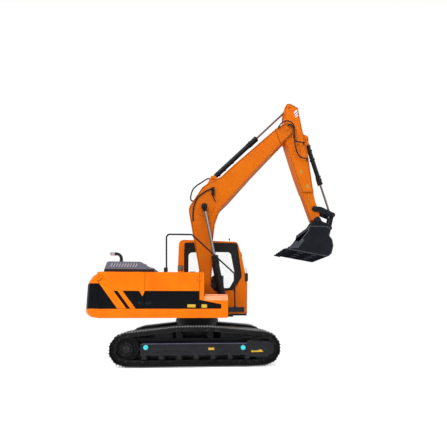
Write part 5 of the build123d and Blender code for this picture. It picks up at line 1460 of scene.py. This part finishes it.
def dress_bucket():
    """Wear plates, side cutters and tooth adapters on the bucket."""
    wear = Piece("bucket_wear_plates", "bucket", "bucket_edge", 0.003, "bucket_steel")
    run = Vector((3.110 - 2.119, 0, 2.437 - 2.610)).normalized()
    down = Vector((run.z, 0, -run.x)) * 0.014
    front = Vector((2.30, 0, 2.5784))
    for k in range(4):
        y = BOOM_Y - 0.40 + k * 0.267
        for start in (front + run * 0.10, front + run * 0.44):
            end = start + run * 0.13
            outline = [start, end, end + down, start + down]
            wear.prism([(p.x, p.z) for p in outline], y - 0.035, y + 0.035)
    wear.done()
    cutters = Piece("bucket_side_cutters", "bucket", "bucket_edge", 0.001, "bucket_steel")
    shape = rounded(
        [
            (2.165, 2.645, 0.01), (2.235, 2.700, 0.02), (2.265, 2.768, 0.02),
            (2.330, 2.805, 0.03), (2.400, 2.792, 0.02), (2.500, 2.870, 0.02),
            (2.545, 2.835, 0.02), (2.390, 2.640, 0.02), (2.150, 2.625, 0.01),
        ],
        4,
    )
    for sign in SIDES.values():
        face = BOOM_Y + sign * BUCKET_HALF
        cutters.prism(shape, face - sign * 0.020, face + sign * 0.010)
        cutters.bolts(((2.47, 2.80), (2.40, 2.70), (2.30, 2.655)), face + sign * 0.010, sign, 0.013, 0.006)
    cutters.done()
    adapters = Piece("tooth_adapters", "bucket", "bucket_steel", 0.004)
    reach = 0.498 - 0.005 - 0.045
    for k in range(5):
        y = BOOM_Y - reach + k * reach / 2
        adapters.prism([(2.180, 2.588), (2.180, 2.668), (2.300, 2.660), (2.360, 2.600)], y - 0.034, y + 0.034)
        adapters.rod((2.150, y - 0.047, 2.615), (2.150, y + 0.047, 2.615), 0.012, sides=14)
    adapters.done()


# ------------------------------------------------------------------ hoses
def lay_hose(name, body, replaced, runs, radius, across=None):
    """Smooth hoses through points, in place of a CAD node, on one body or, given ends, left fixed in place on
    none.
    """
    hoses = Piece(name, body, "hose_rubber")
    for points in runs:
        hoses.tube(points, radius, sides=16, steps=8)
    piece = hoses.built()
    if across:
        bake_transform(piece)
    else:
        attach(piece, body)
    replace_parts(piece, replaced)


# (x, z) routes: two over the arm's pivot, and the loop and the pipe on the boom's foot.
ARM_ROUTES = (
    [
        (2.039, 5.811), (2.120, 5.920), (2.260, 5.985), (2.390, 5.940), (2.455, 5.800),
        (2.430, 5.640), (2.440, 5.520), (2.520, 5.440), (2.700, 5.427),
    ],
    [
        (2.300, 5.880), (2.370, 5.890), (2.430, 5.790), (2.450, 5.620),
        (2.455, 5.380), (2.510, 5.150), (2.610, 5.030), (2.780, 5.000),
    ],
)
LOOP_ROUTE = [
    (0.300, 4.450), (0.235, 4.455), (0.092, 4.359), (-0.033, 4.269), (-0.124, 4.168),
    (-0.170, 4.030), (-0.178, 3.930), (-0.150, 3.880), (-0.090, 3.877),
]
PIPE_ROUTE = [
    (0.340, 4.165), (0.217, 4.107), (0.094, 4.019), (-0.008, 3.919),
    (-0.069, 3.804), (-0.105, 3.657), (-0.114, 3.510), (-0.110, 3.341),
]


def lay_hoses():
    """The hoses over the arm's pivot, and those on the boom."""
    boom_face, arm_face = BOOM_Y - BOOM_HALF, BOOM_Y - ARM_HALF
    y = boom_face - 0.042
    laid = []
    for places in ARM_ROUTES:
        (x0, z0), (x1, z1) = places[0], places[-1]
        start, end = [(x0, boom_face, z0), (x0, y + 0.012, z0)], [(x1, y + 0.020, z1), (x1, arm_face, z1)]
        laid.append(start + [(x, y, z) for x, z in places] + end)
    turn_z = pivot("arm_swing").z
    ends = ("boom", "arm", (2.33, y, turn_z + 0.15), (2.44, y, turn_z - 0.30))
    lay_hose("arm_hose_run", "boom", "arm_hoses", laid, 0.015, ends)

    loop = [(x, BOOM_Y - 0.073, z) for x, z in LOOP_ROUTE]
    pipe = [(x, boom_face - 0.010, z) for x, z in PIPE_ROUTE]
    lay_hose("boom_hose_run", "boom", "boom_hoses", [loop, pipe], 0.017)


make_camera()
make_lights()
make_world()
make_floor()
dress_frame()
dress_tracks()
dress_shoes()
dress_track_frames()
dress_car_body()
dress_sides()
dress_body()
dress_hood()
dress_rails()
dress_cab()
dress_seat()
dress_cylinder("boom_cylinder", 1.140, 0.160, 0.066, (BOOM_CYLINDER_Y, -BOOM_CYLINDER_Y))
dress_cylinder("arm_cylinder", 1.340, 0.240, 0.054, (0.0,))
dress_cylinder("bucket_cylinder", 1.090, 0.160, 0.050, (0.0,))
dress_rims()
dress_boom()
dress_arm()
dress_labels()
dress_linkage()
dress_bucket()
lay_hoses()

scene.view_settings.view_transform = "Standard"
